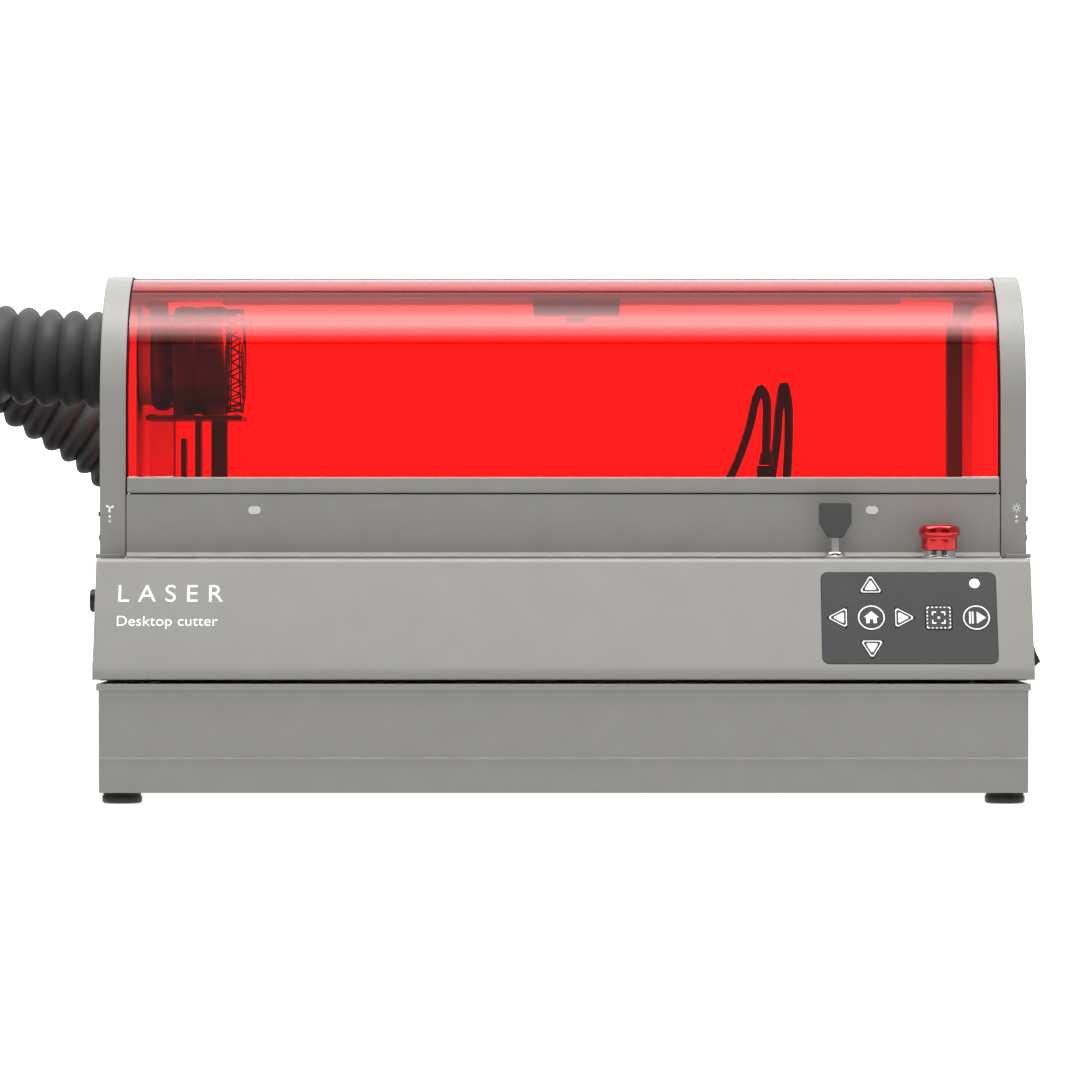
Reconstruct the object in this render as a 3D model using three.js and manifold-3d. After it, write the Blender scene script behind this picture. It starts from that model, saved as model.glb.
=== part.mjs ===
// Desktop laser cutter with a curved acrylic lid, a gantry and a pull-out waste drawer.
// Millimetres, +Z up. The front faces -Y and the origin is on the table under the middle of the body.
import * as THREE from 'three';
import { mergeVertices } from 'three/addons/utils/BufferGeometryUtils.js';
import Module from 'manifold-3d';

const wasm = await Module();
wasm.setup();

// Sheet metal and the gap that neighbouring pieces keep
const SHEET = 2;
const GAP = 0.3;

// Widths from the middle, and depths
const BASE_HALF = 300;
const BODY_HALF = 304;
const FRONT_Y = -277.5;
const BACK_Y = 277.5;

// Heights
const BASE_BOTTOM = 7;
const BASE_TOP = 78;
const HOUSING_TOP = 158.2;
const HOOD_BOTTOM = 158.5;
const HOOD_TOP = 347;
const LID_BOTTOM = 201.3;

// Hood: side panels with a broad rim, and the sheets between them
const HOOD_FRONT_Y = -210.5;
const HOOD_BACK_Y = 270;
const HOOD_RADIUS = 90;
const REAR_RADIUS = 16;
const RIM_WIDTH = 17;
const COVER_HALF = 286.5;
const COVER_INSET = 1.5;
const LID_HALF = 286;
const LID_THICKNESS = 3;
const BAR_HEIGHT = 10.5;
const HINGE_Y = -46;
const HINGE_Z = 344.8;

// Fascia: an upright strip, a slanted face and a flat ledge
const FASCIA_BOTTOM = 80.3;
const SLANT_FOOT = 88;
const SLANT = THREE.MathUtils.degToRad(26.4);

// Control panel on the slanted face
const PANEL_X = 224;
const PANEL_Z = 120;
const PANEL_WIDTH = 113.5;
const PANEL_HEIGHT = 65.6;
const KEY_CLEARANCE = 0.4;

// Key switch and emergency stop on the ledge
const LEDGE_Y = -227;
const KEY_SWITCH_X = 177.6;
const ESTOP_X = 245.7;

// Gantry: Y of the beam, X of the laser head, and where the drive runs
const GANTRY_Y = 60;
const HEAD_X = 137;
const RAIL_X = 266;
const RAIL_TOP = 120.6;
const BEAM_BOTTOM = 130;
const BEAM_HALF = 246.7;
const END_PLATE = [247, 253];
const SHAFT_Y = GANTRY_Y + 30;
const SHAFT_Z = 140;
const PULLEY_RADIUS = 6.4;
const X_MOTOR_X = -268.3;

// Exhaust: fan, spigot and hose share one axis along X
const DUCT_Y = 152;
const DUCT_Z = 298.5;
const HOSE_RADIUS = 35;

const GREY = new THREE.MeshStandardMaterial({ color: 0x868680, roughness: 0.5, metalness: 0.3 });
const LIGHT_GREY = new THREE.MeshStandardMaterial({ color: 0xa6a59f, roughness: 0.5, metalness: 0.3 });
const ACRYLIC = new THREE.MeshStandardMaterial({ color: 0xff2424, roughness: 0.08, metalness: 0 });
const BLACK = new THREE.MeshStandardMaterial({ color: 0x1c1c1c, roughness: 0.5, metalness: 0 });
const RUBBER = new THREE.MeshStandardMaterial({ color: 0x2b2b2b, roughness: 0.85, metalness: 0 });
const CHARCOAL = new THREE.MeshStandardMaterial({ color: 0x505050, roughness: 0.45, metalness: 0 });
const CHROME = new THREE.MeshStandardMaterial({ color: 0xd9d9d9, roughness: 0.15, metalness: 1 });
const ALUMINIUM = new THREE.MeshStandardMaterial({ color: 0xb8babc, roughness: 0.35, metalness: 0.9 });
const RED_METAL = new THREE.MeshStandardMaterial({ color: 0xc8141c, roughness: 0.25, metalness: 0.6 });

const machine = new THREE.Group();

// ---------- helpers ----------

function part(name, geometry, material, parent = machine) {
  const mesh = new THREE.Mesh(geometry, material);
  mesh.name = name;
  parent.add(mesh);
  return mesh;
}

function box(x0, x1, y0, y1, z0, z1) {
  const geometry = new THREE.BoxGeometry(x1 - x0, y1 - y0, z1 - z0);
  return geometry.translate((x0 + x1) / 2, (y0 + y1) / 2, (z0 + z1) / 2);
}

// A box that is centred on x, given by its half width
function middleBox(half, y0, y1, z0, z1) {
  return box(-half, half, y0, y1, z0, z1);
}

// A shape drawn in (y, z) and extruded from x0 to x1
function alongX(shape, x0, x1, curveSegments = 6) {
  const geometry = new THREE.ExtrudeGeometry(shape, { depth: x1 - x0, bevelEnabled: false, curveSegments });
  const basis = new THREE.Matrix4().makeBasis(
    new THREE.Vector3(0, 1, 0), new THREE.Vector3(0, 0, 1), new THREE.Vector3(1, 0, 0));
  return geometry.applyMatrix4(basis).translate(x0, 0, 0);
}

// A shape drawn in (x, z) and extruded from y0 to y1
function alongY(shape, y0, y1) {
  const geometry = new THREE.ExtrudeGeometry(shape, { depth: y1 - y0, bevelEnabled: false, curveSegments: 6 });
  return geometry.rotateX(Math.PI / 2).translate(0, y1, 0);
}

function polygon(points) {
  return new THREE.Shape(points.map(([u, v]) => new THREE.Vector2(u, v)));
}

// A turned piece: the profile holds [radius, height] pairs and stands on +Z
function turned(profile, segments = 24) {
  const points = profile.map(([r, h]) => new THREE.Vector2(r, h));
  return new THREE.LatheGeometry(points, segments).rotateX(Math.PI / 2);
}

// The same with its axis along +X or +Y
function turnedX(profile, segments) {
  return turned(profile, segments).rotateY(Math.PI / 2);
}

function turnedY(profile, segments) {
  return turned(profile, segments).rotateX(-Math.PI / 2);
}

// A round bar from height 0 to the given length
function bar(radius, length) {
  return [[0, 0], [radius, 0], [radius, length], [0, length]];
}

function solidOf(geometry) {
  const bare = geometry.clone();
  bare.deleteAttribute('normal');
  bare.deleteAttribute('uv');
  const merged = mergeVertices(bare, 1e-3);
  const vertProperties = new Float32Array(merged.attributes.position.array);
  const triVerts = new Uint32Array(merged.index.array);
  return new wasm.Manifold(new wasm.Mesh({ numProp: 3, vertProperties, triVerts }));
}

function geometryOf(solid) {
  const mesh = solid.getMesh();
  const geometry = new THREE.BufferGeometry();
  geometry.setAttribute('position', new THREE.BufferAttribute(mesh.vertProperties, 3));
  geometry.setIndex(new THREE.BufferAttribute(mesh.triVerts, 1));
  return geometry;
}

function join(...geometries) {
  const solids = geometries.map(solidOf);
  return geometryOf(solids.reduce((whole, piece) => whole.add(piece)));
}

function cut(geometry, ...tools) {
  return geometryOf(tools.reduce((whole, tool) => whole.subtract(solidOf(tool)), solidOf(geometry)));
}

// ---------- base and drawer ----------

function buildBase() {
  const footProfile = [[0, 0], [12, 0], [13, 1], [13, BASE_BOTTOM - GAP], [0, BASE_BOTTOM - GAP]];
  const places = { front_left: [-286, -258], front_right: [286, -258], rear_left: [-286, 258], rear_right: [286, 258] };
  for (const [place, [x, y]] of Object.entries(places)) {
    part(`foot_${place}`, turned(footProfile), RUBBER).position.set(x, y, 0);
  }

  const tubFront = -271;
  const inner = BASE_HALF - SHEET;
  const tub = cut(
    middleBox(BASE_HALF, tubFront, BACK_Y, BASE_BOTTOM, BASE_TOP),
    middleBox(inner, tubFront - 5, BACK_Y - SHEET, BASE_BOTTOM + SHEET, BASE_TOP - SHEET),
    middleBox(BASE_HALF - 15, tubFront - 5, BACK_Y - 15, BASE_TOP - 5, BASE_TOP + 5),
  );
  const runners = [-1, 1].map((side) => {
    const [near, far] = [side * (inner - 6), side * (inner + 1)];
    return box(Math.min(near, far), Math.max(near, far), -255, 255, 62, 70);
  });
  part('base_tub', join(tub, ...runners), GREY);
}

function buildDrawer() {
  const back = -271.3;
  const face = -276;
  const lip = 73.4;
  const top = BASE_TOP - GAP;
  const bottom = BASE_BOTTOM + GAP;
  const panel = polygon([[back, bottom], [face + 2.5, bottom], [face, 29], [face, top], [back, top]]);
  const lipShape = polygon([
    [back, lip], [FRONT_Y + 0.6, lip], [FRONT_Y, lip + 0.6], [FRONT_Y, top - 0.6], [FRONT_Y + 0.6, top], [back, top],
  ]);
  part('drawer_front', join(
    alongX(panel, -BASE_HALF, BASE_HALF),
    alongX(lipShape, -BASE_HALF - 1.5, BASE_HALF + 1.5),
  ), GREY);

  const trayFront = back + GAP;
  const tray = middleBox(290, trayFront, 250, 12, 60);
  const hollow = middleBox(288.5, trayFront + 1.5, 248.5, 13.5, 70);
  part('drawer_tray', cut(tray, hollow), GREY);
}

// ---------- middle housing ----------

function buildHousing() {
  const inner = BODY_HALF - SHEET;
  const floor = BASE_TOP + GAP;
  const shell = cut(
    middleBox(BODY_HALF, HOOD_FRONT_Y, BACK_Y, floor, HOUSING_TOP),
    middleBox(inner, HOOD_FRONT_Y + SHEET, BACK_Y - SHEET, floor + SHEET, HOUSING_TOP + 5),
    middleBox(215, -195, 215, floor - 5, floor + 5),
  );
  const rearShelf = middleBox(inner + 1, 267, 276, HOUSING_TOP - SHEET, HOUSING_TOP);
  part('mid_housing', join(shell, rearShelf), GREY);
}

// Y on the slanted face at height z, and its height at y, for a face moved inward by inset
function slantY(z, inset = 0) {
  return FRONT_Y + inset / Math.cos(SLANT) + (z - SLANT_FOOT) * Math.tan(SLANT);
}

function slantZ(y, inset = 0) {
  return SLANT_FOOT + (y - FRONT_Y - inset / Math.cos(SLANT)) / Math.tan(SLANT);
}

function fasciaOutline(inset, back) {
  const bottom = FASCIA_BOTTOM + inset;
  const top = HOOD_BOTTOM - inset;
  const front = FRONT_Y + inset;
  const edge = 2.4;
  const shape = new THREE.Shape();
  shape.moveTo(back, bottom);
  shape.lineTo(front + edge, bottom);
  shape.quadraticCurveTo(front, bottom, front, bottom + edge);
  shape.lineTo(front, slantZ(front, inset));
  shape.lineTo(slantY(top - 3, inset), top - 3);
  shape.quadraticCurveTo(slantY(top, inset), top, slantY(top, inset) + 3.4, top);
  shape.lineTo(back, top);
  shape.closePath();
  return shape;
}

// The panel group: its local Y runs up the slanted face and its local Z points out of it
const panel = new THREE.Group();
panel.position.set(PANEL_X, slantY(PANEL_Z), PANEL_Z);
panel.rotation.x = Math.PI / 2 - SLANT;
panel.updateMatrix();
machine.add(panel);

function roundedRect(width, height, radius) {
  const [x, y] = [width / 2, height / 2];
  const shape = new THREE.Shape();
  shape.moveTo(-x + radius, -y);
  shape.absarc(x - radius, -y + radius, radius, -Math.PI / 2, 0);
  shape.absarc(x - radius, y - radius, radius, 0, Math.PI / 2);
  shape.absarc(-x + radius, y - radius, radius, Math.PI / 2, Math.PI);
  shape.absarc(-x + radius, -y + radius, radius, Math.PI, Math.PI * 1.5);
  return shape;
}

// A key's outline: a disc, or a regular polygon with clipped corners, moved out by grow
function keyOutline({ sides, radius, turn = 0 }, grow = 0) {
  const shape = new THREE.Shape();
  if (!sides) {
    shape.absarc(0, 0, radius + grow, 0, Math.PI * 2);
    return shape;
  }
  const reach = radius + grow / Math.cos(Math.PI / sides);
  const corner = (index) => {
    const angle = turn + (index * Math.PI * 2) / sides;
    return new THREE.Vector2(reach * Math.cos(angle), reach * Math.sin(angle));
  };
  const clip = 0.07;
  const points = [];
  for (let index = 0; index < sides; index += 1) {
    points.push(corner(index).lerp(corner(index - 1), clip));
    points.push(corner(index).lerp(corner(index + 1), clip));
  }
  return new THREE.Shape(points);
}

const KEYS = {
  key_home: { x: -24.6, y: 0, radius: 8.8 },
  key_left: { x: -44.8, y: 0, sides: 3, radius: 8.7, turn: Math.PI },
  key_right: { x: -4.8, y: 0, sides: 3, radius: 8.7 },
  key_up: { x: -24.6, y: 22.4, sides: 3, radius: 8.7, turn: Math.PI / 2 },
  key_down: { x: -24.6, y: -20.8, sides: 3, radius: 8.7, turn: -Math.PI / 2 },
  key_frame: { x: 19, y: 0, sides: 4, radius: 12, turn: Math.PI / 4 },
  key_start: { x: 43.4, y: 0, radius: 8.8 },
};

function slab(shape, low, high) {
  const geometry = new THREE.ExtrudeGeometry(shape, { depth: high - low, bevelEnabled: false, curveSegments: 6 });
  return geometry.translate(0, 0, low);
}

function buildFascia() {
  const shell = alongX(fasciaOutline(0, HOOD_FRONT_Y - GAP), -BODY_HALF, BODY_HALF);
  const hollow = alongX(fasciaOutline(SHEET, HOOD_FRONT_Y + 10), -BODY_HALF + SHEET, BODY_HALF - SHEET);
  const pocket = slab(roundedRect(PANEL_WIDTH + 2 * GAP, PANEL_HEIGHT + 2 * GAP, 5), -1.1, 5);
  const keyHoles = Object.values(KEYS).map((key) => (
    slab(keyOutline(key, KEY_CLEARANCE), -6, 6).translate(key.x, key.y, 0)));
  const panelTools = [pocket, ...keyHoles].map((tool) => tool.applyMatrix4(panel.matrix));
  part('fascia', cut(
    shell,
    hollow,
    ...panelTools,
    turned(bar(5.9, 20), 20).translate(KEY_SWITCH_X, LEDGE_Y, 145),
    turned(bar(4.8, 20), 20).translate(ESTOP_X, LEDGE_Y, 145),
    turnedX(bar(5.4, 20), 20).translate(-BODY_HALF - 10, -232, 131),
    box(BODY_HALF - 10, BODY_HALF + 10, -246.3, -236.7, 86.7, 101.3),
  ), LIGHT_GREY);

  const plateShape = roundedRect(PANEL_WIDTH, PANEL_HEIGHT, 5);
  for (const key of Object.values(KEYS)) {
    const hole = keyOutline(key, KEY_CLEARANCE).getPoints(6).map((p) => new THREE.Vector2(p.x + key.x, p.y + key.y));
    plateShape.holes.push(new THREE.Path(hole));
  }
  part('control_plate', slab(plateShape, -0.8, 0.3), CHARCOAL, panel);
  for (const [name, key] of Object.entries(KEYS)) {
    part(name, slab(keyOutline(key), -1.6, 0.6), CHARCOAL, panel).position.set(key.x, key.y, 0);
  }
}

function buildLedgeSwitches() {
  const barrel = [[0, 0], [5.5, 0], [5.5, 18.8], [6.5, 18.8], [6.5, 21], [6, 21.5], [0, 21.5]];
  part('key_barrel', turned(barrel), CHROME).position.set(KEY_SWITCH_X, LEDGE_Y, 140);

  // The key: a flat shank under a square head with tapered shoulders
  const keyShape = polygon([
    [-2.5, 0], [2.5, 0], [2.5, 9.8], [4.8, 9.8], [10.7, 19.8], [10.7, 31.8], [9.4, 33.2], [-9.4, 33.2],
    [-10.7, 31.8], [-10.7, 19.8], [-4.8, 9.8], [-2.5, 9.8],
  ]);
  part('key', alongY(keyShape, -1.3, 1.3), CHARCOAL).position.set(KEY_SWITCH_X, LEDGE_Y, 161.8);

  // The collar is low enough to leave the cap its travel
  const collar = [[4.8, 0.3], [11, 0.3], [11, 2.1], [4.8, 2.1], [4.8, 0.3]];
  part('estop_collar', turned(collar), CHROME).position.set(ESTOP_X, LEDGE_Y, HOOD_BOTTOM);
  part('estop_stem', turned(bar(4, 27.2), 16), CHROME).position.set(ESTOP_X, LEDGE_Y, 145);
  const cap = [
    [0, 14], [4.4, 14], [4.4, 9], [11.3, 9], [11.3, 5.5], [11.9, 5.5], [11.9, 13.5],
    [13.5, 15.2], [13.75, 17], [13.2, 19.6], [11.6, 21], [0, 21.5],
  ];
  part('estop_cap', turned(cap), RED_METAL).position.set(ESTOP_X, LEDGE_Y, HOOD_BOTTOM);
}

function buildSideControls() {
  const rocker = polygon([[-5, -4.5], [0.4, -6.8], [4.6, -6.2], [2.1, 0], [1.4, 6.4], [-1.5, 6.8], [-5, 4.5]]);
  part('rocker_switch', alongY(rocker, -4.5, 4.5), BLACK).position.set(BODY_HALF, -241.5, 94);

  const port = [
    [3.4, 0], [6.6, 0], [7.25, 0.7], [7.25, 4.3], [5, 4.3], [5, 12], [0, 12], [0, 7], [3.4, 7], [3.4, 0],
  ];
  part('side_port', turnedX(port), BLACK).position.set(-BODY_HALF - 4.6, -232, 131);

  const sliderY = -194;
  for (const [name, side, height] of [['fan_slider', -1, 186], ['light_slider', 1, 182.9]]) {
    const slider = box(-3.5, 3.5, -1.7, 1.7, 0, 3.2);
    part(name, slider, BLACK).position.set(side * 302.5, sliderY, height);
  }
}

// ---------- hood ----------

// The hood seen from the side, moved inward by inset; an inset outline runs out through the foot
function hoodOutline(inset) {
  const front = HOOD_FRONT_Y + inset;
  const back = HOOD_BACK_Y - inset;
  const top = HOOD_TOP - inset;
  const bottom = inset ? HOOD_BOTTOM - 10 : HOOD_BOTTOM;
  const frontRadius = HOOD_RADIUS - inset;
  const rearRadius = REAR_RADIUS - inset;
  const shape = new THREE.Shape();
  shape.moveTo(front, bottom);
  shape.lineTo(back, bottom);
  shape.absarc(back - rearRadius, top - rearRadius, rearRadius, 0, Math.PI / 2);
  shape.absarc(front + frontRadius, top - frontRadius, frontRadius, Math.PI / 2, Math.PI);
  shape.closePath();
  return shape;
}

function buildSidePanel(name, side) {
  const [inside, skin] = [BODY_HALF - RIM_WIDTH, BODY_HALF - SHEET];
  const spread = (shape, near, far) => (side > 0 ? alongX(shape, near, far, 12) : alongX(shape, -far, -near, 12));
  const tools = [spread(hoodOutline(SHEET), inside - 1, skin)];
  tools.push(box(-3, 3, -196, -192, 182.6, 189.6).translate(side * (BODY_HALF - 1), 0, 0));
  if (side < 0) {
    tools.push(turnedX(bar(32.4, 10), 32).translate(-BODY_HALF - 5, DUCT_Y, DUCT_Z));
  }
  part(name, cut(spread(hoodOutline(0), inside, BODY_HALF), ...tools), GREY);
}

// The curved lid sheet, from its bottom bar over the arc to its rear edge
function lidOutline(inset, bottom, rear) {
  const [outer, inner] = [inset, inset + LID_THICKNESS];
  const centreY = HOOD_FRONT_Y + HOOD_RADIUS;
  const centreZ = HOOD_TOP - HOOD_RADIUS;
  const shape = new THREE.Shape();
  shape.moveTo(HOOD_FRONT_Y + outer, bottom);
  shape.absarc(centreY, centreZ, HOOD_RADIUS - outer, Math.PI, Math.PI / 2, true);
  shape.lineTo(rear, HOOD_TOP - outer);
  shape.lineTo(rear, HOOD_TOP - inner);
  shape.absarc(centreY, centreZ, HOOD_RADIUS - inner, Math.PI / 2, Math.PI);
  shape.lineTo(HOOD_FRONT_Y + inner, bottom);
  shape.closePath();
  return shape;
}

function knuckle(x0, x1) {
  return turnedX(bar(2.4, x1 - x0), 12).translate(x0, HINGE_Y, HINGE_Z);
}

function hingeBore() {
  return turnedX(bar(1.6, 600), 12).translate(-300, HINGE_Y, HINGE_Z);
}

const LID_KNUCKLES = [[-200, -100], [100, 200]];
const ROOF_KNUCKLES = [[-284, -200.4], [-99.6, 99.6], [200.4, 284]];

function buildLid() {
  const barTop = LID_BOTTOM + BAR_HEIGHT;
  const rear = HINGE_Y - 5;
  part('lid_window', alongX(lidOutline(COVER_INSET, barTop + GAP, rear), -LID_HALF, LID_HALF, 14), ACRYLIC);
  const barShape = polygon([
    [HOOD_FRONT_Y - 0.6, LID_BOTTOM + 1], [HOOD_FRONT_Y + 0.4, LID_BOTTOM], [HOOD_FRONT_Y + 7, LID_BOTTOM],
    [HOOD_FRONT_Y + 7, barTop - 4], [HOOD_FRONT_Y + 5, barTop], [HOOD_FRONT_Y + 0.4, barTop],
    [HOOD_FRONT_Y - 0.6, barTop - 1],
  ]);
  part('lid_bar', alongX(barShape, -LID_HALF, LID_HALF), GREY);

  const underside = HOOD_TOP - COVER_INSET - LID_THICKNESS - GAP;
  const leaf = middleBox(LID_HALF, rear - 24, rear + 2, underside - SHEET, underside);
  const upright = middleBox(LID_HALF, rear + GAP, rear + 2, underside - SHEET, HINGE_Z);
  const ears = LID_KNUCKLES.map(([x0, x1]) => box(x0, x1, rear + 1, HINGE_Y, HINGE_Z - 1.6, HINGE_Z));
  const knuckles = LID_KNUCKLES.map(([x0, x1]) => knuckle(x0, x1));
  part('lid_hinge_strip', cut(join(leaf, upright, ...ears, ...knuckles), hingeBore()), GREY);
}

function buildFixedHood() {
  buildSidePanel('side_panel_left', -1);
  buildSidePanel('side_panel_right', 1);

  const [face, top] = [HOOD_FRONT_Y, LID_BOTTOM - 0.8];
  const foot = HOOD_BOTTOM + GAP;
  const frontShape = polygon([
    [face - 2.6, foot], [face - 2.6, foot + 1], [face, foot + 3.6], [face, top], [face + 12, top],
    [face + 12, top - SHEET], [face + SHEET, top - SHEET], [face + SHEET, foot],
  ]);
  part('front_panel', alongX(frontShape, -COVER_HALF, COVER_HALF), GREY);

  const roofTop = HOOD_TOP - COVER_INSET;
  const roofFront = HINGE_Y + 3;
  const roofBack = HOOD_BACK_Y - COVER_INSET;
  const radius = REAR_RADIUS - COVER_INSET;
  const roofEnd = roofBack - radius;
  const roofShape = new THREE.Shape();
  roofShape.moveTo(roofFront, 336);
  roofShape.lineTo(roofFront, roofTop);
  roofShape.lineTo(roofEnd, roofTop);
  roofShape.lineTo(roofEnd, roofTop - SHEET);
  roofShape.lineTo(roofFront + SHEET, roofTop - SHEET);
  roofShape.lineTo(roofFront + SHEET, 336);
  roofShape.closePath();
  const ears = ROOF_KNUCKLES.map(([x0, x1]) => box(x0, x1, HINGE_Y, roofFront + 1, HINGE_Z - 1, HINGE_Z + 0.6));
  const knuckles = ROOF_KNUCKLES.map(([x0, x1]) => knuckle(x0, x1));
  const sheet = alongX(roofShape, -COVER_HALF, COVER_HALF);
  part('roof_panel', cut(join(sheet, ...ears, ...knuckles), hingeBore()), GREY);
  part('hinge_pin', turnedX(bar(1.2, 568), 12).translate(-284, HINGE_Y, HINGE_Z), CHROME);

  // A low wall with a post at each end, and the rear window that bends forward under the roof
  part('rear_panel', cut(
    middleBox(COVER_HALF, roofBack - SHEET, roofBack, HOOD_BOTTOM, roofTop - radius),
    middleBox(281, roofBack - 10, roofBack + 10, 184, 400),
  ), GREY);
  const underRoof = roofTop - SHEET - GAP;
  const paneBack = roofBack - SHEET - GAP;
  const bend = paneBack - roofEnd;
  const paneShape = new THREE.Shape();
  paneShape.moveTo(paneBack, 178);
  paneShape.absarc(roofEnd, underRoof - bend, bend, 0, Math.PI / 2);
  paneShape.lineTo(232, underRoof);
  paneShape.lineTo(232, underRoof - LID_THICKNESS);
  paneShape.absarc(roofEnd, underRoof - bend, bend - LID_THICKNESS, Math.PI / 2, 0, true);
  paneShape.lineTo(paneBack - LID_THICKNESS, 178);
  paneShape.closePath();
  part('rear_window', alongX(paneShape, -282, 282), ACRYLIC);

  const cameraBox = box(-20, 40, 2, 42, 324.7, underRoof);
  const lens = turned(bar(7, 8), 20).translate(10, 22, 321);
  part('camera_module', join(cameraBox, lens), BLACK);
  part('light_bar', middleBox(240, 108, 122, 337, underRoof), ALUMINIUM);
}

// ---------- bed and motion ----------

function buildBed() {
  const [halfX, front, back] = [228, -205, 230];
  const [columns, rows, wall] = [7, 7, 5];
  const floor = BASE_TOP + GAP + SHEET + GAP;
  const [pitchX, pitchY] = [(2 * halfX - wall) / columns, (back - front - wall) / rows];
  const cells = [];
  for (let column = 0; column < columns; column += 1) {
    for (let row = 0; row < rows; row += 1) {
      const [x, y] = [-halfX + wall + column * pitchX, front + wall + row * pitchY];
      cells.push(box(x, x + pitchX - wall, y, y + pitchY - wall, floor - 5, floor + 20));
    }
  }
  part('honeycomb_bed', cut(middleBox(halfX, front, back, floor, floor + 12), ...cells), ALUMINIUM);
}

// The section of a 20 x 40 slotted profile, drawn about its centre, 20 wide and 40 high
function profileSection(centreU, centreV) {
  const slot = ([u, v], [du, dv]) => [
    [u - 3 * dv - 0 * du, v + 3 * du], [u - 3 * dv - 4 * du, v + 3 * du - 4 * dv],
    [u + 3 * dv - 4 * du, v - 3 * du - 4 * dv], [u + 3 * dv, v - 3 * du],
  ];
  const outline = [
    [-10, -20], ...slot([0, -20], [0, -1]).reverse().map(([u, v]) => [-u, v]).reverse(),
    [10, -20], ...slot([10, -10], [1, 0]).reverse(), ...slot([10, 10], [1, 0]).reverse(),
    [10, 20], [-10, 20], ...slot([-10, 10], [-1, 0]).reverse(), ...slot([-10, -10], [-1, 0]).reverse(),
  ];
  return polygon(outline.map(([u, v]) => [u + centreU, v + centreV]));
}

function buildRails() {
  const floor = BASE_TOP + GAP + SHEET + GAP;
  const section = profileSection(0, (floor + RAIL_TOP) / 2);
  for (const [name, side] of [['y_rail_left', -1], ['y_rail_right', 1]]) {
    part(name, alongY(section, -205, 262), ALUMINIUM).position.x = side * RAIL_X;
  }
}

function buildGantryEnd(name, side) {
  const [near, far] = END_PLATE;
  const plate = box(near, far, GANTRY_Y - 46, GANTRY_Y + 46, 96, 166);
  const shaftHole = turnedX(bar(3.2, 20), 16).translate(near - 5, SHAFT_Y, SHAFT_Z);
  const wheels = [-36, 14].flatMap((offset) => {
    const at = [GANTRY_Y + offset, RAIL_TOP + GAP + 7];
    return [
      turnedX(bar(7, 12), 20).translate(RAIL_X - 6, ...at),
      turnedX(bar(2.5, 14), 12).translate(far - 1, ...at),
    ];
  });
  const end = cut(join(plate, ...wheels), shaftHole);
  if (side < 0) {
    end.rotateZ(Math.PI).translate(0, 2 * GANTRY_Y, 0);
    part(name, mirroredAcross(end, GANTRY_Y), ALUMINIUM);
  } else {
    part(name, end, ALUMINIUM);
  }
}

// A copy mirrored across the plane at the given y
function mirroredAcross(geometry, y) {
  return geometryOf(solidOf(geometry).translate([0, -y, 0]).mirror([0, 1, 0]).translate([0, y, 0]));
}

function buildGantry() {
  const section = profileSection(GANTRY_Y, BEAM_BOTTOM + 20);
  const guide = middleBox(240, GANTRY_Y - 14, GANTRY_Y - 9, 145, 155);
  part('x_beam', join(alongX(section, -BEAM_HALF, BEAM_HALF), guide), ALUMINIUM);
  buildGantryEnd('gantry_end_left', -1);
  buildGantryEnd('gantry_end_right', 1);

  const shaftBore = turnedX(bar(3.2, 60), 16).translate(190, SHAFT_Y, SHAFT_Z);
  const yMotor = box(205, 240, SHAFT_Y - 17.5, SHAFT_Y + 17.5, SHAFT_Z - 17.5, SHAFT_Z + 17.5);
  part('y_motor', cut(yMotor, shaftBore), BLACK);
  part('x_motor', box(X_MOTOR_X - 15, X_MOTOR_X + 15, GANTRY_Y - 15, GANTRY_Y + 15, 136, 168), BLACK);

  const pulleyStart = 256;
  const pulleys = [-pulleyStart - 8, pulleyStart].map((x) => turnedX(bar(PULLEY_RADIUS, 8), 20).translate(x, 0, 0));
  const rod = turnedX(bar(2.5, 524), 16).translate(-262, 0, 0);
  part('drive_shaft', join(rod, ...pulleys), CHROME).position.set(0, SHAFT_Y, SHAFT_Z);
  part('x_pulley', turned(bar(PULLEY_RADIUS, 10), 20), ALUMINIUM).position.set(X_MOTOR_X, GANTRY_Y, 168.3);

  part('carriage', cut(
    join(
      box(HEAD_X - 30, HEAD_X + 30, GANTRY_Y - 18, GANTRY_Y - 10.3, 126, 188),
      box(HEAD_X - 26, HEAD_X + 26, GANTRY_Y - 18, GANTRY_Y + 9, 182, 188),
    ),
    box(HEAD_X - 40, HEAD_X + 40, GANTRY_Y - 14.4, GANTRY_Y - 5, 144.6, 155.4),
  ), BLACK);
}

// A rotor about +Z: a hub with pitched blades
function rotor(hubRadius, tipRadius, height, blades) {
  const pieces = [turned(bar(hubRadius, height), 20)];
  for (let blade = 0; blade < blades; blade += 1) {
    const vane = new THREE.BoxGeometry(tipRadius - hubRadius + 1, 1.2, height * 0.85);
    vane.rotateX(0.6).translate((tipRadius + hubRadius - 1) / 2, 0, height / 2);
    pieces.push(vane.rotateZ((blade * Math.PI * 2) / blades));
  }
  return join(...pieces);
}

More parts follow.
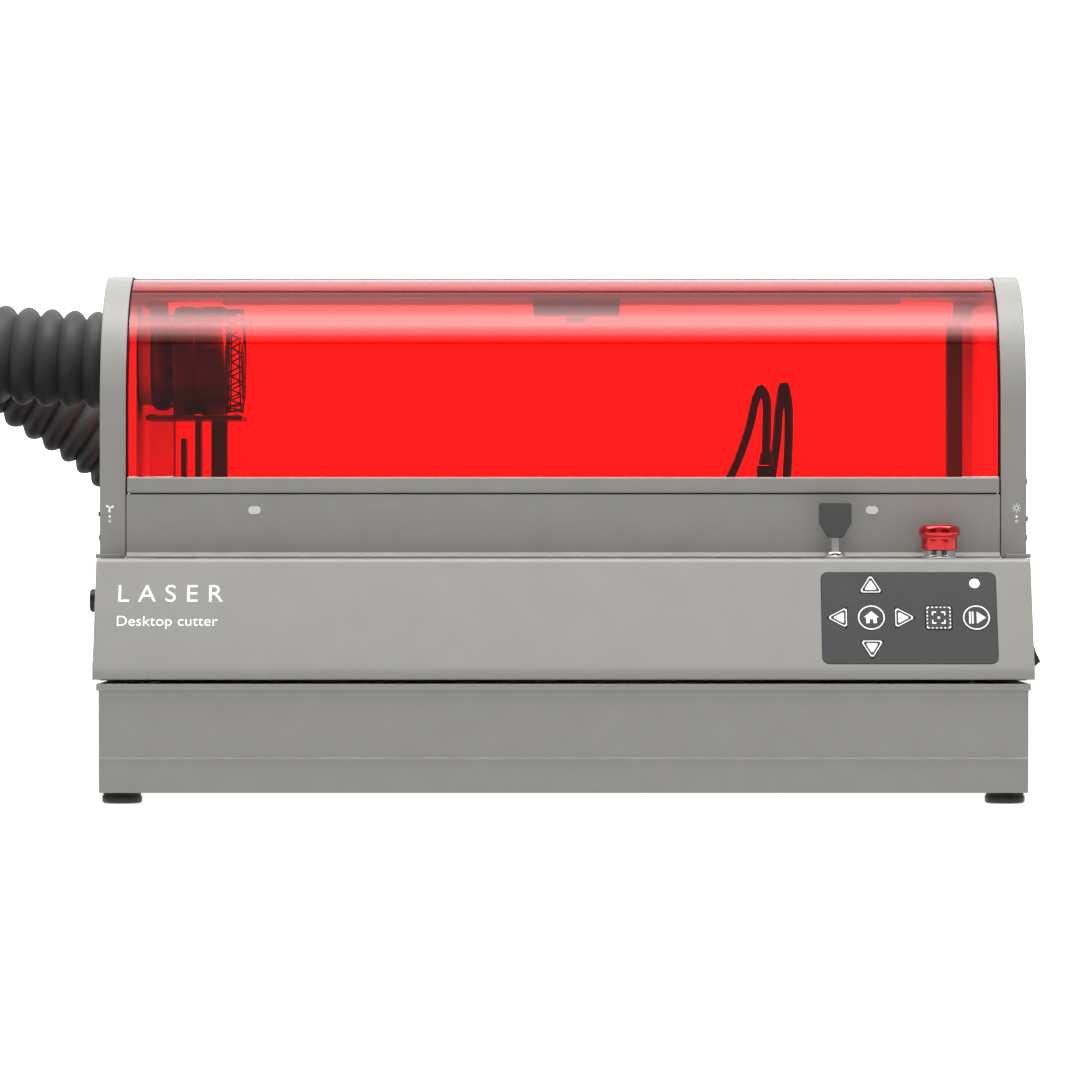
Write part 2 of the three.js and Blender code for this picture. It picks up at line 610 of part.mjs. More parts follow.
function buildHead() {
  const [front, back] = [GANTRY_Y - 60, GANTRY_Y - 18.3];
  const cableY = GANTRY_Y - 39;
  const body = join(
    box(HEAD_X - 22, HEAD_X + 22, front, back, 120, 198),
    box(HEAD_X - 2, HEAD_X + 11, cableY - 5, cableY + 5, 190, 222),
    box(HEAD_X - 31, HEAD_X - 20, cableY - 5, cableY + 5, 184, 197),
  );
  const fanRecess = turnedY(bar(18.5, 12), 28).translate(HEAD_X, front - 1, 162);
  const fins = [];
  for (let z = 128; z < 196; z += 8) {
    fins.push(box(HEAD_X + 17, HEAD_X + 30, front - 5, back - 6, z, z + 4));
  }
  part('laser_head', cut(body, fanRecess, ...fins), CHARCOAL);
  part('head_fan', rotor(7, 17, 8, 7).rotateX(-Math.PI / 2), BLACK).position.set(HEAD_X, front + 1.5, 162);

  const nozzle = [[3, 0], [5, 0], [14, 11], [14, 16.7], [3, 16.7], [3, 0]];
  part('nozzle', turned(nozzle), ALUMINIUM).position.set(HEAD_X, cableY, 103);
}

// A flexible line along hand-placed points
function line(points, radius, sides, steps) {
  const path = new THREE.CatmullRomCurve3(points.map((point) => new THREE.Vector3(...point)));
  const section = new THREE.Shape();
  for (let side = 0; side < sides; side += 1) {
    const angle = (side * Math.PI * 2) / sides;
    const [u, v] = [radius * Math.cos(angle), radius * Math.sin(angle)];
    if (side === 0) {
      section.moveTo(u, v);
    } else {
      section.lineTo(u, v);
    }
  }
  section.closePath();
  return new THREE.ExtrudeGeometry(section, { steps, bevelEnabled: false, extrudePath: path });
}

// Two cable loops that stand above the head: one from its side clamp to the socket, one behind it
function buildHeadCables() {
  const [socketY, rearY] = [GANTRY_Y - 39, GANTRY_Y - 27];
  const loops = {
    head_cable_front: [
      [110, socketY, 197.5], [110.2, socketY, 202], [112.5, socketY, 208], [118, socketY, 217],
      [125, socketY, 234], [130.5, socketY, 251], [134, socketY, 267], [138, socketY, 276],
      [141.6, socketY, 268], [142, socketY, 250], [141.5, socketY, 232], [141.5, socketY, 222.5],
    ],
    head_cable_rear: [
      [143.8, rearY, 198.5], [144, rearY, 203], [145, rearY, 209], [147, rearY, 222],
      [149.5, rearY, 242], [151, rearY, 262], [154.2, rearY, 279], [157.4, rearY, 264],
      [157.6, rearY, 240], [156.5, rearY, 215], [156.2, rearY, 204], [156.1, rearY, 198.5],
    ],
  };
  for (const [name, points] of Object.entries(loops)) {
    part(name, line(points, 3.25, 8, 18), BLACK);
  }
}

// ---------- exhaust ----------

function buildExhaust() {
  const fanStart = -300;
  const shell = [
    [31, 0], [40, 0], [40, 6], [38, 6], [38, 60], [40.5, 60], [40.5, 72], [31, 72], [31, 0],
  ];
  const spider = [0, 1, 2].map((arm) => (
    new THREE.BoxGeometry(4, 4, 33).translate(6, 0, 16.5).rotateX((arm * Math.PI * 2) / 3)));
  const housing = join(
    turnedX(shell),
    turnedX(bar(11, 10), 20).translate(4, 0, 0),
    ...spider,
    box(2, 70, -36, 36, -43, -36),
  );
  const bore = turnedX(bar(30.9, 60), 28).translate(14.2, 0, 0);
  part('exhaust_fan_housing', cut(housing, bore), BLACK).position.set(fanStart, DUCT_Y, DUCT_Z);
  part('exhaust_rotor', rotor(12, 29, 24, 7).rotateY(Math.PI / 2), BLACK)
    .position.set(fanStart + 14.6, DUCT_Y, DUCT_Z);

  const shelfTop = 209;
  const columnTop = DUCT_Z - 43 - GAP;
  const shelf = box(-BODY_HALF + SHEET + GAP, -237, DUCT_Y - 34, DUCT_Y + 34, shelfTop - 3, shelfTop);
  const columns = [[-271, -267.4, 243], [-261, -256.7, columnTop], [-249.5, -238.2, columnTop]];
  const posts = columns.map(([x0, x1, top]) => box(x0, x1, DUCT_Y - 12, DUCT_Y + 12, shelfTop - 1, top));
  part('fan_bracket', join(shelf, ...posts), BLACK);

  const spigot = [[29, 0], [38, 0], [38, 2.2], [32, 2.2], [32, 6.2], [29, 6.2], [29, 0]];
  part('hose_spigot', turnedX(spigot).translate(-306.5, DUCT_Y, DUCT_Z), BLACK);

  const back = 455;
  const floorHeight = HOSE_RADIUS + GAP;
  const route = [
    [-306.8, DUCT_Y, DUCT_Z], [-325, DUCT_Y, 298.6], [-352, DUCT_Y, 299.8], [-380, DUCT_Y + 0.5, 301.8],
    [-410, DUCT_Y + 2, 304.3], [-440, DUCT_Y + 7, 306.6], [-492, 175, 309.5], [-540, 205, 311], [-572, 250, 311.5],
    [-584, 306, 311], [-572, 362, 311], [-540, 410, 311.5], [-492, 440, 312], [-458, 451, 310.5],
    [-427, back + 1, 303], [-395, back + 3, 283], [-351, back + 4, 254], [-313, back + 4, 221],
    [-272, back + 4, 186],
    [-235, back + 4, 150], [-197, back + 4, 115], [-155, back + 3, 82], [-108, back + 2, 56], [-60, back, 41],
    [-10, back - 3, floorHeight], [45, back - 6, floorHeight], [100, back - 8, floorHeight],
    [155, back - 8, floorHeight], [205, back - 7, floorHeight], [240, back - 7, floorHeight],
  ];
  part('exhaust_hose', line(route, HOSE_RADIUS, 10, 36), RUBBER);
  const cuff = [[30, 0], [35, 0], [35, 12], [33.5, 14], [33.5, 45], [30, 45], [30, 0]];
  part('hose_cuff', turnedX(cuff).translate(240.3 + GAP, back - 7, floorHeight), BLACK);
}

buildBase();
buildDrawer();
buildHousing();
buildFascia();
buildLedgeSwitches();
buildSideControls();
buildFixedHood();
buildLid();
buildBed();
buildRails();
buildGantry();
buildHead();
buildHeadCables();
buildExhaust();

export default machine;
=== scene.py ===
"""Desktop laser cutter: camera, studio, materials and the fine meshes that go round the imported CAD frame."""
from math import cos, pi, radians, sin, sqrt, tan, tau

import bmesh
import bpy
from mathutils import Matrix, Vector


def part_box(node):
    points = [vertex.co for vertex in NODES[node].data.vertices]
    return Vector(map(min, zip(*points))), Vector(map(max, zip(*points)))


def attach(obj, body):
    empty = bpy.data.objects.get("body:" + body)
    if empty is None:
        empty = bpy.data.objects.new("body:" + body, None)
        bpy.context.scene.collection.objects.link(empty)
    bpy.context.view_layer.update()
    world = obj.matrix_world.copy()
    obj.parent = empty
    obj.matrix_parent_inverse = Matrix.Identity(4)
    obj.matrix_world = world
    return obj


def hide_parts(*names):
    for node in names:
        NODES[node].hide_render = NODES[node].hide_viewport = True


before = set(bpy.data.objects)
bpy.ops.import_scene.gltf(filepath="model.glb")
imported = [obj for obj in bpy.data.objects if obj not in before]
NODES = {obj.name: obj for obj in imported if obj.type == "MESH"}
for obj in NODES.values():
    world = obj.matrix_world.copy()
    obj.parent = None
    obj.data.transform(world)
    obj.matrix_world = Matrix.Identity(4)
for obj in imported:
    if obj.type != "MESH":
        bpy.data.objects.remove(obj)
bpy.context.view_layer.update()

MM = 0.001
CAMERA_DISTANCE = 4.0       # from the foremost face of the machine
CAMERA_X = -0.0152
CAMERA_HEIGHT = 0.1705
CAMERA_LENS = 206.7
SLANT = radians(26.4)  # of the fascia from upright
PRINT = 0.06 * MM           # thickness of printed words
INK = (0.01, 0.07)          # the heights that a printed mark spans above its face, mm
HOOD_CENTRE = (-120.5, 257)     # of the hood's front curve, Y and Z in mm
WORLD_LIGHT, WORLD_SEEN = 0.30, 2.1     # world strength as light, and as the camera's backdrop
FLOOR_RADIUS = 4.5
SIDES = ((-1, "left"), (1, "right"))
ALONG_X = Matrix(((0, 0, 1), (1, 0, 0), (0, 1, 0))).to_4x4()    # stands a prism's height along +X
TO_FRONT = Matrix.Rotation(pi / 2, 4, "X")     # stands a shape's +Z along -Y
moved = Matrix.Translation


# ---------- camera and studio ----------

def linked(name, data):
    """A new object in the scene."""
    obj = bpy.data.objects.new(name, data)
    bpy.context.scene.collection.objects.link(obj)
    return obj


def make_camera():
    data = bpy.data.cameras.new("camera")
    data.lens = CAMERA_LENS
    data.sensor_width = 36
    data.clip_end = 100
    camera = linked("camera", data)
    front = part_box("drawer_front")[0].y
    camera.location = (CAMERA_X, front - CAMERA_DISTANCE, CAMERA_HEIGHT)
    camera.rotation_euler = (pi / 2, 0, 0)
    bpy.context.scene.camera = camera


def area_light(name, location, target, size, watts, colour=(1, 1, 1)):
    data = bpy.data.lights.new(name, "AREA")
    data.shape = "RECTANGLE"
    data.size, data.size_y = size
    data.energy = watts
    data.color = colour
    light = linked(name, data)
    light.location = location
    light.rotation_euler = (Vector(target) - Vector(location)).to_track_quat("-Z", "Y").to_euler()
    light.visible_camera = False
    return light


def card(name, corners, material, *hidden_from):
    """A flat sheet of the studio, which may be hidden from some kinds of ray."""
    sheet = mesh_object(name, corners, [tuple(range(len(corners)))], material)
    for ray in hidden_from:
        setattr(sheet, "visible_" + ray, False)
    return sheet


def make_studio():
    scene = bpy.context.scene
    scene.view_settings.view_transform = "Standard"
    world = bpy.data.worlds.new("studio")
    scene.world = world
    world.use_nodes = True
    tree = world.node_tree
    background = tree.nodes["Background"]
    path = tree.nodes.new("ShaderNodeLightPath")
    level = tree.nodes.new("ShaderNodeMapRange")
    level.inputs["To Min"].default_value = WORLD_LIGHT
    level.inputs["To Max"].default_value = WORLD_SEEN
    tree.links.new(path.outputs["Is Camera Ray"], level.inputs["Value"])
    tree.links.new(level.outputs["Result"], background.inputs["Strength"])
    background.inputs["Color"].default_value = (1, 1, 1, 1)

    # The long overhead softbox that draws the bright band along the lid's curve, and one behind it
    for name, y, z, tilt, size, material in [
        ("softbox_top", -0.11, 2.0, 0, (3.4, 2.2), TOP_GLOW),
        ("softbox_back", 1.6, 1.5, 50, (3.4, 1.3), BACK_GLOW),
    ]:
        half_x, half_y = size[0] / 2, size[1] / 2
        corners = [(-half_x, half_y, 0), (half_x, half_y, 0), (half_x, -half_y, 0), (-half_x, -half_y, 0)]
        softbox = card(name, corners, material, "camera")
        softbox.location = (0, y, z)
        softbox.rotation_euler = (radians(-tilt), 0, 0)
    for name, location, watts in [("fill_front", (-1.2, -3.0, 1.0), 4), ("fill_high", (0.4, -2.4, 2.3), 26)]:
        area_light(name, location, (0, 0, 0.15), (1.6, 1.6), watts).visible_glossy = False
    # Dark cards at both sides, seen only in the chrome
    for side, name in SIDES:
        corners = [(0, -0.7, 0.02), (0, 0.7, 0.02), (0, 0.7, 1.5), (0, -0.7, 1.5)]
        flag = card(f"flag_{name}", corners, FLAG, "camera", "diffuse", "shadow", "transmission")
        flag.location = (side * 1.05, -1.75, 0)
        flag.rotation_euler = (0, 0, side * radians(-35))
    # A dark card under the hose keeps the floor's glow off its underside
    corners = [(-1.0, -0.25, 0.045), (-0.34, -0.25, 0.045), (-0.34, 0.7, 0.045), (-1.0, 0.7, 0.045)]
    card("flag_hose", corners, FLAG, "camera", "shadow", "transmission")
    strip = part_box("light_bar")
    lamp = area_light("strip_lamp", (0, (strip[0].y + strip[1].y) / 2, strip[0].z - 4 * MM), (0, 0.12, 0),
                      (0.46, 0.01), 3.2)
    lamp.rotation_euler = (0, 0, 0)

    card("floor", [(x, y, 0) for x, y in circle(FLOOR_RADIUS, 96)], FLOOR)


# ---------- materials ----------

class Shader:
    """A material with a Principled shader and a few helpers for its nodes."""

    def __init__(self, name):
        self.material = bpy.data.materials.new(name)
        self.material.use_nodes = True
        self.tree = self.material.node_tree
        self.main = self.tree.nodes["Principled BSDF"]
        self.output = self.tree.nodes["Material Output"]
        self.coordinates = self.add("ShaderNodeTexCoord").outputs["Object"]

    def add(self, kind, **inputs):
        node = self.tree.nodes.new(kind)
        for key, value in inputs.items():
            node.inputs[key.replace("_", " ")].default_value = value
        return node

    def link(self, source, target):
        self.tree.links.new(source, target)

    def set(self, **sockets):
        for key, value in sockets.items():
            self.main.inputs[key.replace("_", " ")].default_value = value

    def noise(self, scale, detail=3.0, stretch=None):
        source = self.coordinates
        if stretch:
            mapping = self.add("ShaderNodeMapping", Scale=stretch)
            self.link(source, mapping.inputs["Vector"])
            source = mapping.outputs["Vector"]
        node = self.add("ShaderNodeTexNoise", Scale=scale, Detail=detail)
        self.link(source, node.inputs["Vector"])
        return node.outputs["Fac"]

    def ramp(self, source, low, high, stops=(0.35, 0.65)):
        node = self.add("ShaderNodeValToRGB")
        for stop, place, colour in zip(node.color_ramp.elements, stops, (low, high)):
            stop.position = place
            stop.color = (*colour, 1)
        self.link(source, node.inputs["Fac"])
        return node.outputs["Color"]

    def spread(self, source, low, high):
        node = self.add("ShaderNodeMapRange", From_Min=0.3, From_Max=0.7, To_Min=low, To_Max=high)
        self.link(source, node.inputs["Value"])
        return node.outputs["Result"]

    def bump(self, height, strength, distance):
        node = self.add("ShaderNodeBump", Strength=strength, Distance=distance)
        self.link(height, node.inputs["Height"])
        self.link(node.outputs["Normal"], self.main.inputs["Normal"])


def shade(value, factor):
    return tuple(max(0.0, min(1.0, channel * factor)) for channel in value)


def surface(name, colour, vary=0.9, scale=40, rough=(0.4, 0.5), metal=0.0, grain=900, relief=0.12,
            depth=0.05, stretch=None, **sockets):
    """A surface with mottled colour and roughness and a fine relief, all from object coordinates."""
    made = Shader(name)
    mottle = made.noise(scale, 4.0, stretch)
    made.link(made.ramp(mottle, shade(colour, vary), colour), made.main.inputs["Base Color"])
    made.link(made.spread(made.noise(scale * 2.7, 3.0, stretch), *rough), made.main.inputs["Roughness"])
    made.bump(made.noise(grain, 2.0, stretch), relief, depth * MM)
    made.set(Metallic=metal, **sockets)
    return made.material


def acrylic(name, tint, haze_and_painted_glow, index_low):
    """Clear tinted sheet: light passes straight through, and a Schlick share of it is mirrored. A milky share
    may be mixed in, which also emits red light: a painted glow.
    """
    made = Shader(name)
    clear = made.add("ShaderNodeBsdfTransparent", Color=(*tint, 1))
    gloss = made.add("ShaderNodeBsdfGlossy", Color=(1, 1, 1, 1), Roughness=0.03)
    facing = made.add("ShaderNodeLayerWeight", Blend=0.5)
    power = made.add("ShaderNodeMath")
    power.operation = "POWER"
    power.inputs[1].default_value = 5.0
    made.link(facing.outputs["Facing"], power.inputs[0])
    share = made.add("ShaderNodeMapRange", To_Min=index_low, To_Max=0.9)
    made.link(power.outputs["Value"], share.inputs["Value"])
    mirror = made.add("ShaderNodeMixShader")
    made.link(share.outputs["Result"], mirror.inputs["Fac"])
    body = clear
    if haze_and_painted_glow:
        made.link(made.ramp(made.noise(30), (0.9, 0.012, 0.012), (1.0, 0.016, 0.016)),
                  made.main.inputs["Base Color"])
        # Painted glow: this emission makes the milky share shine red as if lit from behind.
        made.set(Roughness=0.5, Emission_Color=(1.0, 0.01, 0.01, 1), Emission_Strength=1.4)
        glow = made.add("ShaderNodeBsdfTranslucent", Color=(1.0, 0.015, 0.015, 1))
        milk = made.add("ShaderNodeMixShader", Fac=0.6)
        made.link(made.main.outputs["BSDF"], milk.inputs[1])
        made.link(glow.outputs["BSDF"], milk.inputs[2])
        body = made.add("ShaderNodeMixShader", Fac=haze_and_painted_glow)
        made.link(clear.outputs["BSDF"], body.inputs[1])
        made.link(milk.outputs["Shader"], body.inputs[2])
    else:
        made.tree.nodes.remove(made.main)
    made.link(body.outputs[0], mirror.inputs[1])
    made.link(gloss.outputs["BSDF"], mirror.inputs[2])
    made.link(mirror.outputs["Shader"], made.output.inputs["Surface"])
    return made.material


def glowing(name, colour, strength):
    return surface(name, colour, 0.97, rough=(0.3, 0.4), Emission_Color=(*colour, 1),
                   Emission_Strength=strength)


def softbox_glow(name, stops):
    """A studio card whose brightness runs from front to back along its own Y, over 2.2 m."""
    made = Shader(name)
    split = made.add("ShaderNodeSeparateXYZ")
    made.link(made.coordinates, split.inputs["Vector"])
    place = made.add("ShaderNodeMapRange", From_Min=-1.1, From_Max=1.1)
    made.link(split.outputs["Y"], place.inputs["Value"])
    level = made.add("ShaderNodeValToRGB")
    ramp = level.color_ramp
    ramp.interpolation = "EASE"
    while len(ramp.elements) < len(stops):
        ramp.elements.new(0.5)
    for element, (position, value) in zip(ramp.elements, stops):
        element.position = position
        element.color = (value, value, value, 1)
    made.link(place.outputs["Result"], level.inputs["Fac"])
    glow = made.add("ShaderNodeEmission", Strength=10.0)
    made.link(level.outputs["Color"], glow.inputs["Color"])
    made.tree.nodes.remove(made.main)
    made.link(glow.outputs["Emission"], made.output.inputs["Surface"])
    return made.material


FLAG = surface("flag_black", (0.012, 0.012, 0.012), 0.9, 20, (0.8, 0.9), relief=0.02)
PAINT_COLOUR = (0.268, 0.264, 0.248)
FLOOR = surface("floor_pale", (0.12, 0.12, 0.12), 0.97, 3, (0.6, 0.7), relief=0.0,
                Emission_Color=(1, 1, 1, 1), Emission_Strength=0.96)
TOP_GLOW = softbox_glow("top_glow", [(0.0, 0.0), (0.11, 0.10), (0.22, 0.42), (0.34, 0.86), (0.42, 0.80),
                                     (0.575, 0.40), (0.70, 0.20), (1.0, 0.16)])
BACK_GLOW = softbox_glow("back_glow", [(0.0, 0.16), (1.0, 0.2)])
PAINT = surface("body_paint", PAINT_COLOUR, 0.955, 55, (0.40, 0.50), grain=2600, relief=0.10, depth=0.04)
FASCIA_PAINT = surface("fascia_paint", PAINT_COLOUR, 0.965, 45, (0.38, 0.46), grain=2600, relief=0.09,
                       depth=0.04)
RED_ACRYLIC = acrylic("lid_acrylic", (1.0, 0.05, 0.05), 0.0, 0.045)
# Its milky share carries a painted red glow.
REAR_ACRYLIC = acrylic("rear_acrylic", (1.0, 0.08, 0.08), 0.45, 0.03)
CHARCOAL = surface("charcoal_overlay", (0.046, 0.046, 0.046), 0.9, 60, (0.42, 0.52), grain=3200, relief=0.08,
                   depth=0.03)
KEY_PLASTIC = surface("key_plastic", (0.062, 0.062, 0.062), 0.88, 70, (0.42, 0.55), grain=2400, relief=0.15,
                      depth=0.04)
BLACK = surface("black_plastic", (0.018, 0.018, 0.018), 0.75, 60, (0.32, 0.45), grain=1800, relief=0.15,
                depth=0.04)
BLACK_METAL = surface("black_anodised", (0.035, 0.035, 0.038), 0.85, 50, (0.32, 0.42), 0.7, grain=2200,
                      relief=0.10, depth=0.03)
FAN_PLASTIC = surface("fan_plastic", (0.03, 0.03, 0.03), 0.8, 50, (0.35, 0.5), grain=1500, relief=0.12)
RUBBER = surface("foot_rubber", (0.010, 0.010, 0.010), 0.7, 70, (0.28, 0.4), grain=1400, relief=0.15)
# Dark red for the seals, and for a strip of painted shade at the right rear corner.
SEAL_AND_SHADE = surface("dark_seal_and_shade", (0.030, 0.006, 0.006), 0.8, 70, (0.5, 0.65), grain=1400, relief=0.15)
HOSE_RUBBER = surface("hose_rubber", (0.034, 0.032, 0.032), 0.8, 25, (0.52, 0.68), grain=1300, relief=0.25,
                      depth=0.08, Sheen_Weight=0.08)
CABLE_BLACK = surface("cable_jacket", (0.014, 0.014, 0.014), 0.8, 90, (0.35, 0.5), grain=1500, relief=0.1)
BELT_RUBBER = surface("belt_rubber", (0.012, 0.012, 0.012), 0.8, 200, (0.6, 0.75), grain=1500, relief=0.3)
CHROME = surface("chrome", (0.86, 0.86, 0.87), 0.97, 60, (0.06, 0.12), 1.0, relief=0.02, depth=0.01)
STEEL = surface("steel", (0.60, 0.60, 0.61), 0.9, 60, (0.22, 0.34), 1.0, grain=1200, relief=0.06,
                stretch=(1, 12, 12))
ALUMINIUM = surface("anodised_aluminium", (0.62, 0.63, 0.64), 0.93, 50, (0.30, 0.40), 1.0, grain=1600,
                    relief=0.08, depth=0.03, stretch=(1, 6, 6))
BED_STEEL = surface("bed_steel", (0.45, 0.45, 0.46), 0.7, 30, (0.35, 0.5), 1.0, grain=800, relief=0.1)
RED_METAL = surface("red_lacquer", (0.74, 0.010, 0.012), 0.9, 80, (0.12, 0.2), 0.85, grain=3000, relief=0.03,
                    Coat_Weight=0.8, Coat_Roughness=0.05)
# White print with a faint emission: a painted glow that keeps it bright in any light.
WHITE_INK_GLOW = surface("white_print_glow", (0.86, 0.86, 0.86), 0.96, 120, (0.45, 0.55), relief=0.05,
                    Emission_Color=(1, 1, 1, 1), Emission_Strength=0.12)
LINER = surface("pale_liner", (0.82, 0.80, 0.80), 0.95, 60, (0.45, 0.6), relief=0.08)
FOLD_SHADE = surface("shaded_liner", (0.50, 0.47, 0.47), 0.9, 60, (0.5, 0.65), relief=0.08)
INLAY = surface("light_inlay", (0.66, 0.66, 0.64), 0.93, 200, (0.35, 0.45), relief=0.08)
BOARD_GREEN = surface("board_green", (0.01, 0.09, 0.035), 0.8, 150, (0.4, 0.5), relief=0.1)
LAMP = glowing("status_lamp", (1.0, 1.0, 1.0), 1.0)
STRIP_LIGHT = glowing("strip_diffuser", (0.95, 0.95, 0.92), 0.35)


# ---------- mesh helpers ----------

def mesh_object(name, verts, faces, material, smooth=False):
    mesh = bpy.data.meshes.new(name)
    mesh.from_pydata([tuple(v) for v in verts], [], faces)
    mesh.validate()
    mesh.update()
    obj = linked(name, mesh)
    mesh.materials.append(material)
    if smooth:
        mesh.shade_smooth()
        mesh.set_sharp_from_angle(angle=radians(35))
    return obj


def piece(obj, body, slot, *replaced):
    """Names the body a new piece rides on and the CAD nodes it stands for; slot, its finish, is not used."""
    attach(obj, body)
    if replaced:
        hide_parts(*replaced)
    return obj


class Build:
    """Collects vertices and faces of a piece that is made of several shapes."""

    def __init__(self):
        self.verts = []
        self.faces = []

    def add(self, verts, faces, matrix=None):
        start = len(self.verts)
        for vert in verts:
            point = Vector(vert)
            self.verts.append(matrix @ point if matrix else point)
        self.faces.extend(tuple(start + index for index in face) for face in faces)
        return self

    def prism(self, outline, low, high, matrix=None):
        return self.add(*prism(outline, low, high), matrix)

    def band(self, outer, inner, low, high, matrix=None):
        return self.add(*band(outer, inner, low, high), matrix)

    def block(self, lo, hi, matrix=None):
        return self.add(*block(lo, hi), matrix)

    def revolve(self, profile, segments, matrix=None):
        return self.add(*revolve(profile, segments), matrix)

    def around(self, count, lo, hi, matrix, offset=0.0, axis="Z"):
        """A ring of equal blocks about the matrix's own axis, each between two corners in millimetres."""
        for step in range(count):
            turn = matrix @ rolled(tau * (step + offset) / count, axis)
            self.block(tuple(v * MM for v in lo), tuple(v * MM for v in hi), turn)

    def piece(self, name, material, slot, *replaced, body="chassis", smooth=False, bevel=0.0):
        """Makes the mesh, rounds its edges where a bevel is given, and lets it ride on its body."""
        obj = self.make(name, material, smooth)
        return piece(bevelled(obj, bevel) if bevel else obj, body, slot, *replaced)

    def make(self, name, material, smooth=False):
        obj = mesh_object(name, self.verts, self.faces, material, smooth)
        tidy = bmesh.new()
        tidy.from_mesh(obj.data)
        bmesh.ops.recalc_face_normals(tidy, faces=tidy.faces)
        tidy.to_mesh(obj.data)
        tidy.free()
        return obj


def revolve(profile, segments=48):
    """A turned shape about +Z from [radius, height] pairs in millimetres; radius 0 closes it on the axis."""
    verts, rings = [], []
    for radius, height in profile:
        if radius < 1e-6:
            rings.append([len(verts)] * segments)
            verts.append((0, 0, height * MM))
        else:
            rings.append(list(range(len(verts), len(verts) + segments)))
            for i in range(segments):
                turn = tau * i / segments
                verts.append((radius * MM * cos(turn), radius * MM * sin(turn), height * MM))
    faces = []
    for low, high in zip(rings, rings[1:]):
        for i in range(segments):
            j = (i + 1) % segments
            corners = dict.fromkeys((low[i], low[j], high[j], high[i]))
            if len(corners) > 2:
                faces.append(tuple(corners))
    return verts, faces


def softened(profile, radius, steps=3):
    """The profile with each inner corner rounded off by about that radius, in millimetres."""
    out = [profile[0]]
    for before, corner, after in zip(profile, profile[1:], profile[2:]):
        a, b, c = Vector(before), Vector(corner), Vector(after)
        reach = min(radius, (a - b).length * 0.45, (c - b).length * 0.45)
        start, end = b + (a - b).normalized() * reach, b + (c - b).normalized() * reach
        for step in range(steps + 1):
            t = step / steps
            out.append(tuple(start * (1 - t) ** 2 + b * 2 * t * (1 - t) + end * t ** 2))
    out.append(profile[-1])
    return out


def prism(outline, low, high):
    """A flat shape given in millimetres, from height low to high."""
    count = len(outline)
    verts = [(x * MM, y * MM, z * MM) for z in (low, high) for x, y in outline]
    faces = [tuple(range(count - 1, -1, -1)), tuple(range(count, 2 * count))]
    faces += [(i, (i + 1) % count, count + (i + 1) % count, count + i) for i in range(count)]
    return verts, faces


def band(outer, inner, low, high):
    """The flat band between two outlines with equally many corners, in millimetres."""
    count = len(outer)
    verts = [(x * MM, y * MM, z * MM) for z in (low, high) for outline in (outer, inner) for x, y in outline]
    faces = []
    for i in range(count):
        j = (i + 1) % count
        faces.append((i, j, count + j, count + i))
        faces.append((2 * count + j, 2 * count + i, 3 * count + i, 3 * count + j))
        faces.append((j, i, 2 * count + i, 2 * count + j))
        faces.append((count + i, count + j, 3 * count + j, 3 * count + i))
    return verts, faces


def mirrored(half):
    """An outline that is symmetrical about X = 0, from its right half."""
    return half + [(-x, y) for x, y in reversed(half) if x]


def circle(radius, count=48, x=0.0, y=0.0, turn=0.0):
    angles = [turn + i * (tau / count) for i in range(count)]
    return [(x + radius * cos(a), y + radius * sin(a)) for a in angles]


def rounded(width, height, radius, x=0.0, y=0.0, steps=6):
    """A rectangle with rounded corners about (x, y)."""
    out = []
    for quarter, (sx, sy) in enumerate([(1, 1), (-1, 1), (-1, -1), (1, -1)]):
        cx, cy = x + sx * (width / 2 - radius), y + sy * (height / 2 - radius)
        for step in range(steps + 1):
            angle = pi / 2 * (quarter + step / steps)
            out.append((cx + radius * cos(angle), cy + radius * sin(angle)))
    return out


def block(lo, hi):
    """An axis-aligned block between any two opposite corners in metres."""
    xs, ys, zs = (sorted(pair) for pair in zip(lo, hi))
    verts = [(x, y, z) for z in zs for y in ys for x in xs]
    faces = [(0, 2, 3, 1), (4, 5, 7, 6), (0, 1, 5, 4), (2, 6, 7, 3), (0, 4, 6, 2), (1, 3, 7, 5)]
    return verts, faces


def facing(axis, origin=(0, 0, 0)):
    """A matrix that stands a shape's +Z along the given axis at the origin, in metres."""
    turn = Vector(axis).to_track_quat("Z", "Y").to_matrix().to_4x4()
    return moved(Vector(origin)) @ turn


def bevelled(obj, width, segments=2, angle=30):
    """Rounds an object's hard edges and keeps its flat faces flat, without touching its mesh."""
    weld = obj.modifiers.new("weld", "WELD")
    weld.merge_threshold = 0.00001
    flat = obj.modifiers.new("dissolve", "DECIMATE")
    flat.decimate_type = "DISSOLVE"
    flat.angle_limit = radians(0.6)
    bevel = obj.modifiers.new("bevel", "BEVEL")
    bevel.width = width * MM
    bevel.segments = segments
    bevel.limit_method = "ANGLE"
    bevel.angle_limit = radians(angle)
    bevel.use_clamp_overlap = True
    normals = obj.modifiers.new("normals", "WEIGHTED_NORMAL")
    normals.keep_sharp = True
    obj.data.shade_smooth()
    return obj


def rolled(angle, axis="Z"):
    return Matrix.Rotation(angle, 4, axis)


def quarter(y, z, radius, steps):
    """A quarter turn from the front to the top about (y, z), in even steps."""
    turns = [pi - pi / 2 * step / steps for step in range(steps + 1)]
    return [(y + radius * cos(a), z + radius * sin(a)) for a in turns]


def centre(node):
    lo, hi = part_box(node)
    return (lo + hi) / 2


def corner_mean(node):
    """The middle of a prism-shaped node's corners."""
    points = {tuple(round(c, 6) for c in v.co) for v in NODES[node].data.vertices}
    return sum((Vector(p) for p in points), Vector()) / len(points)


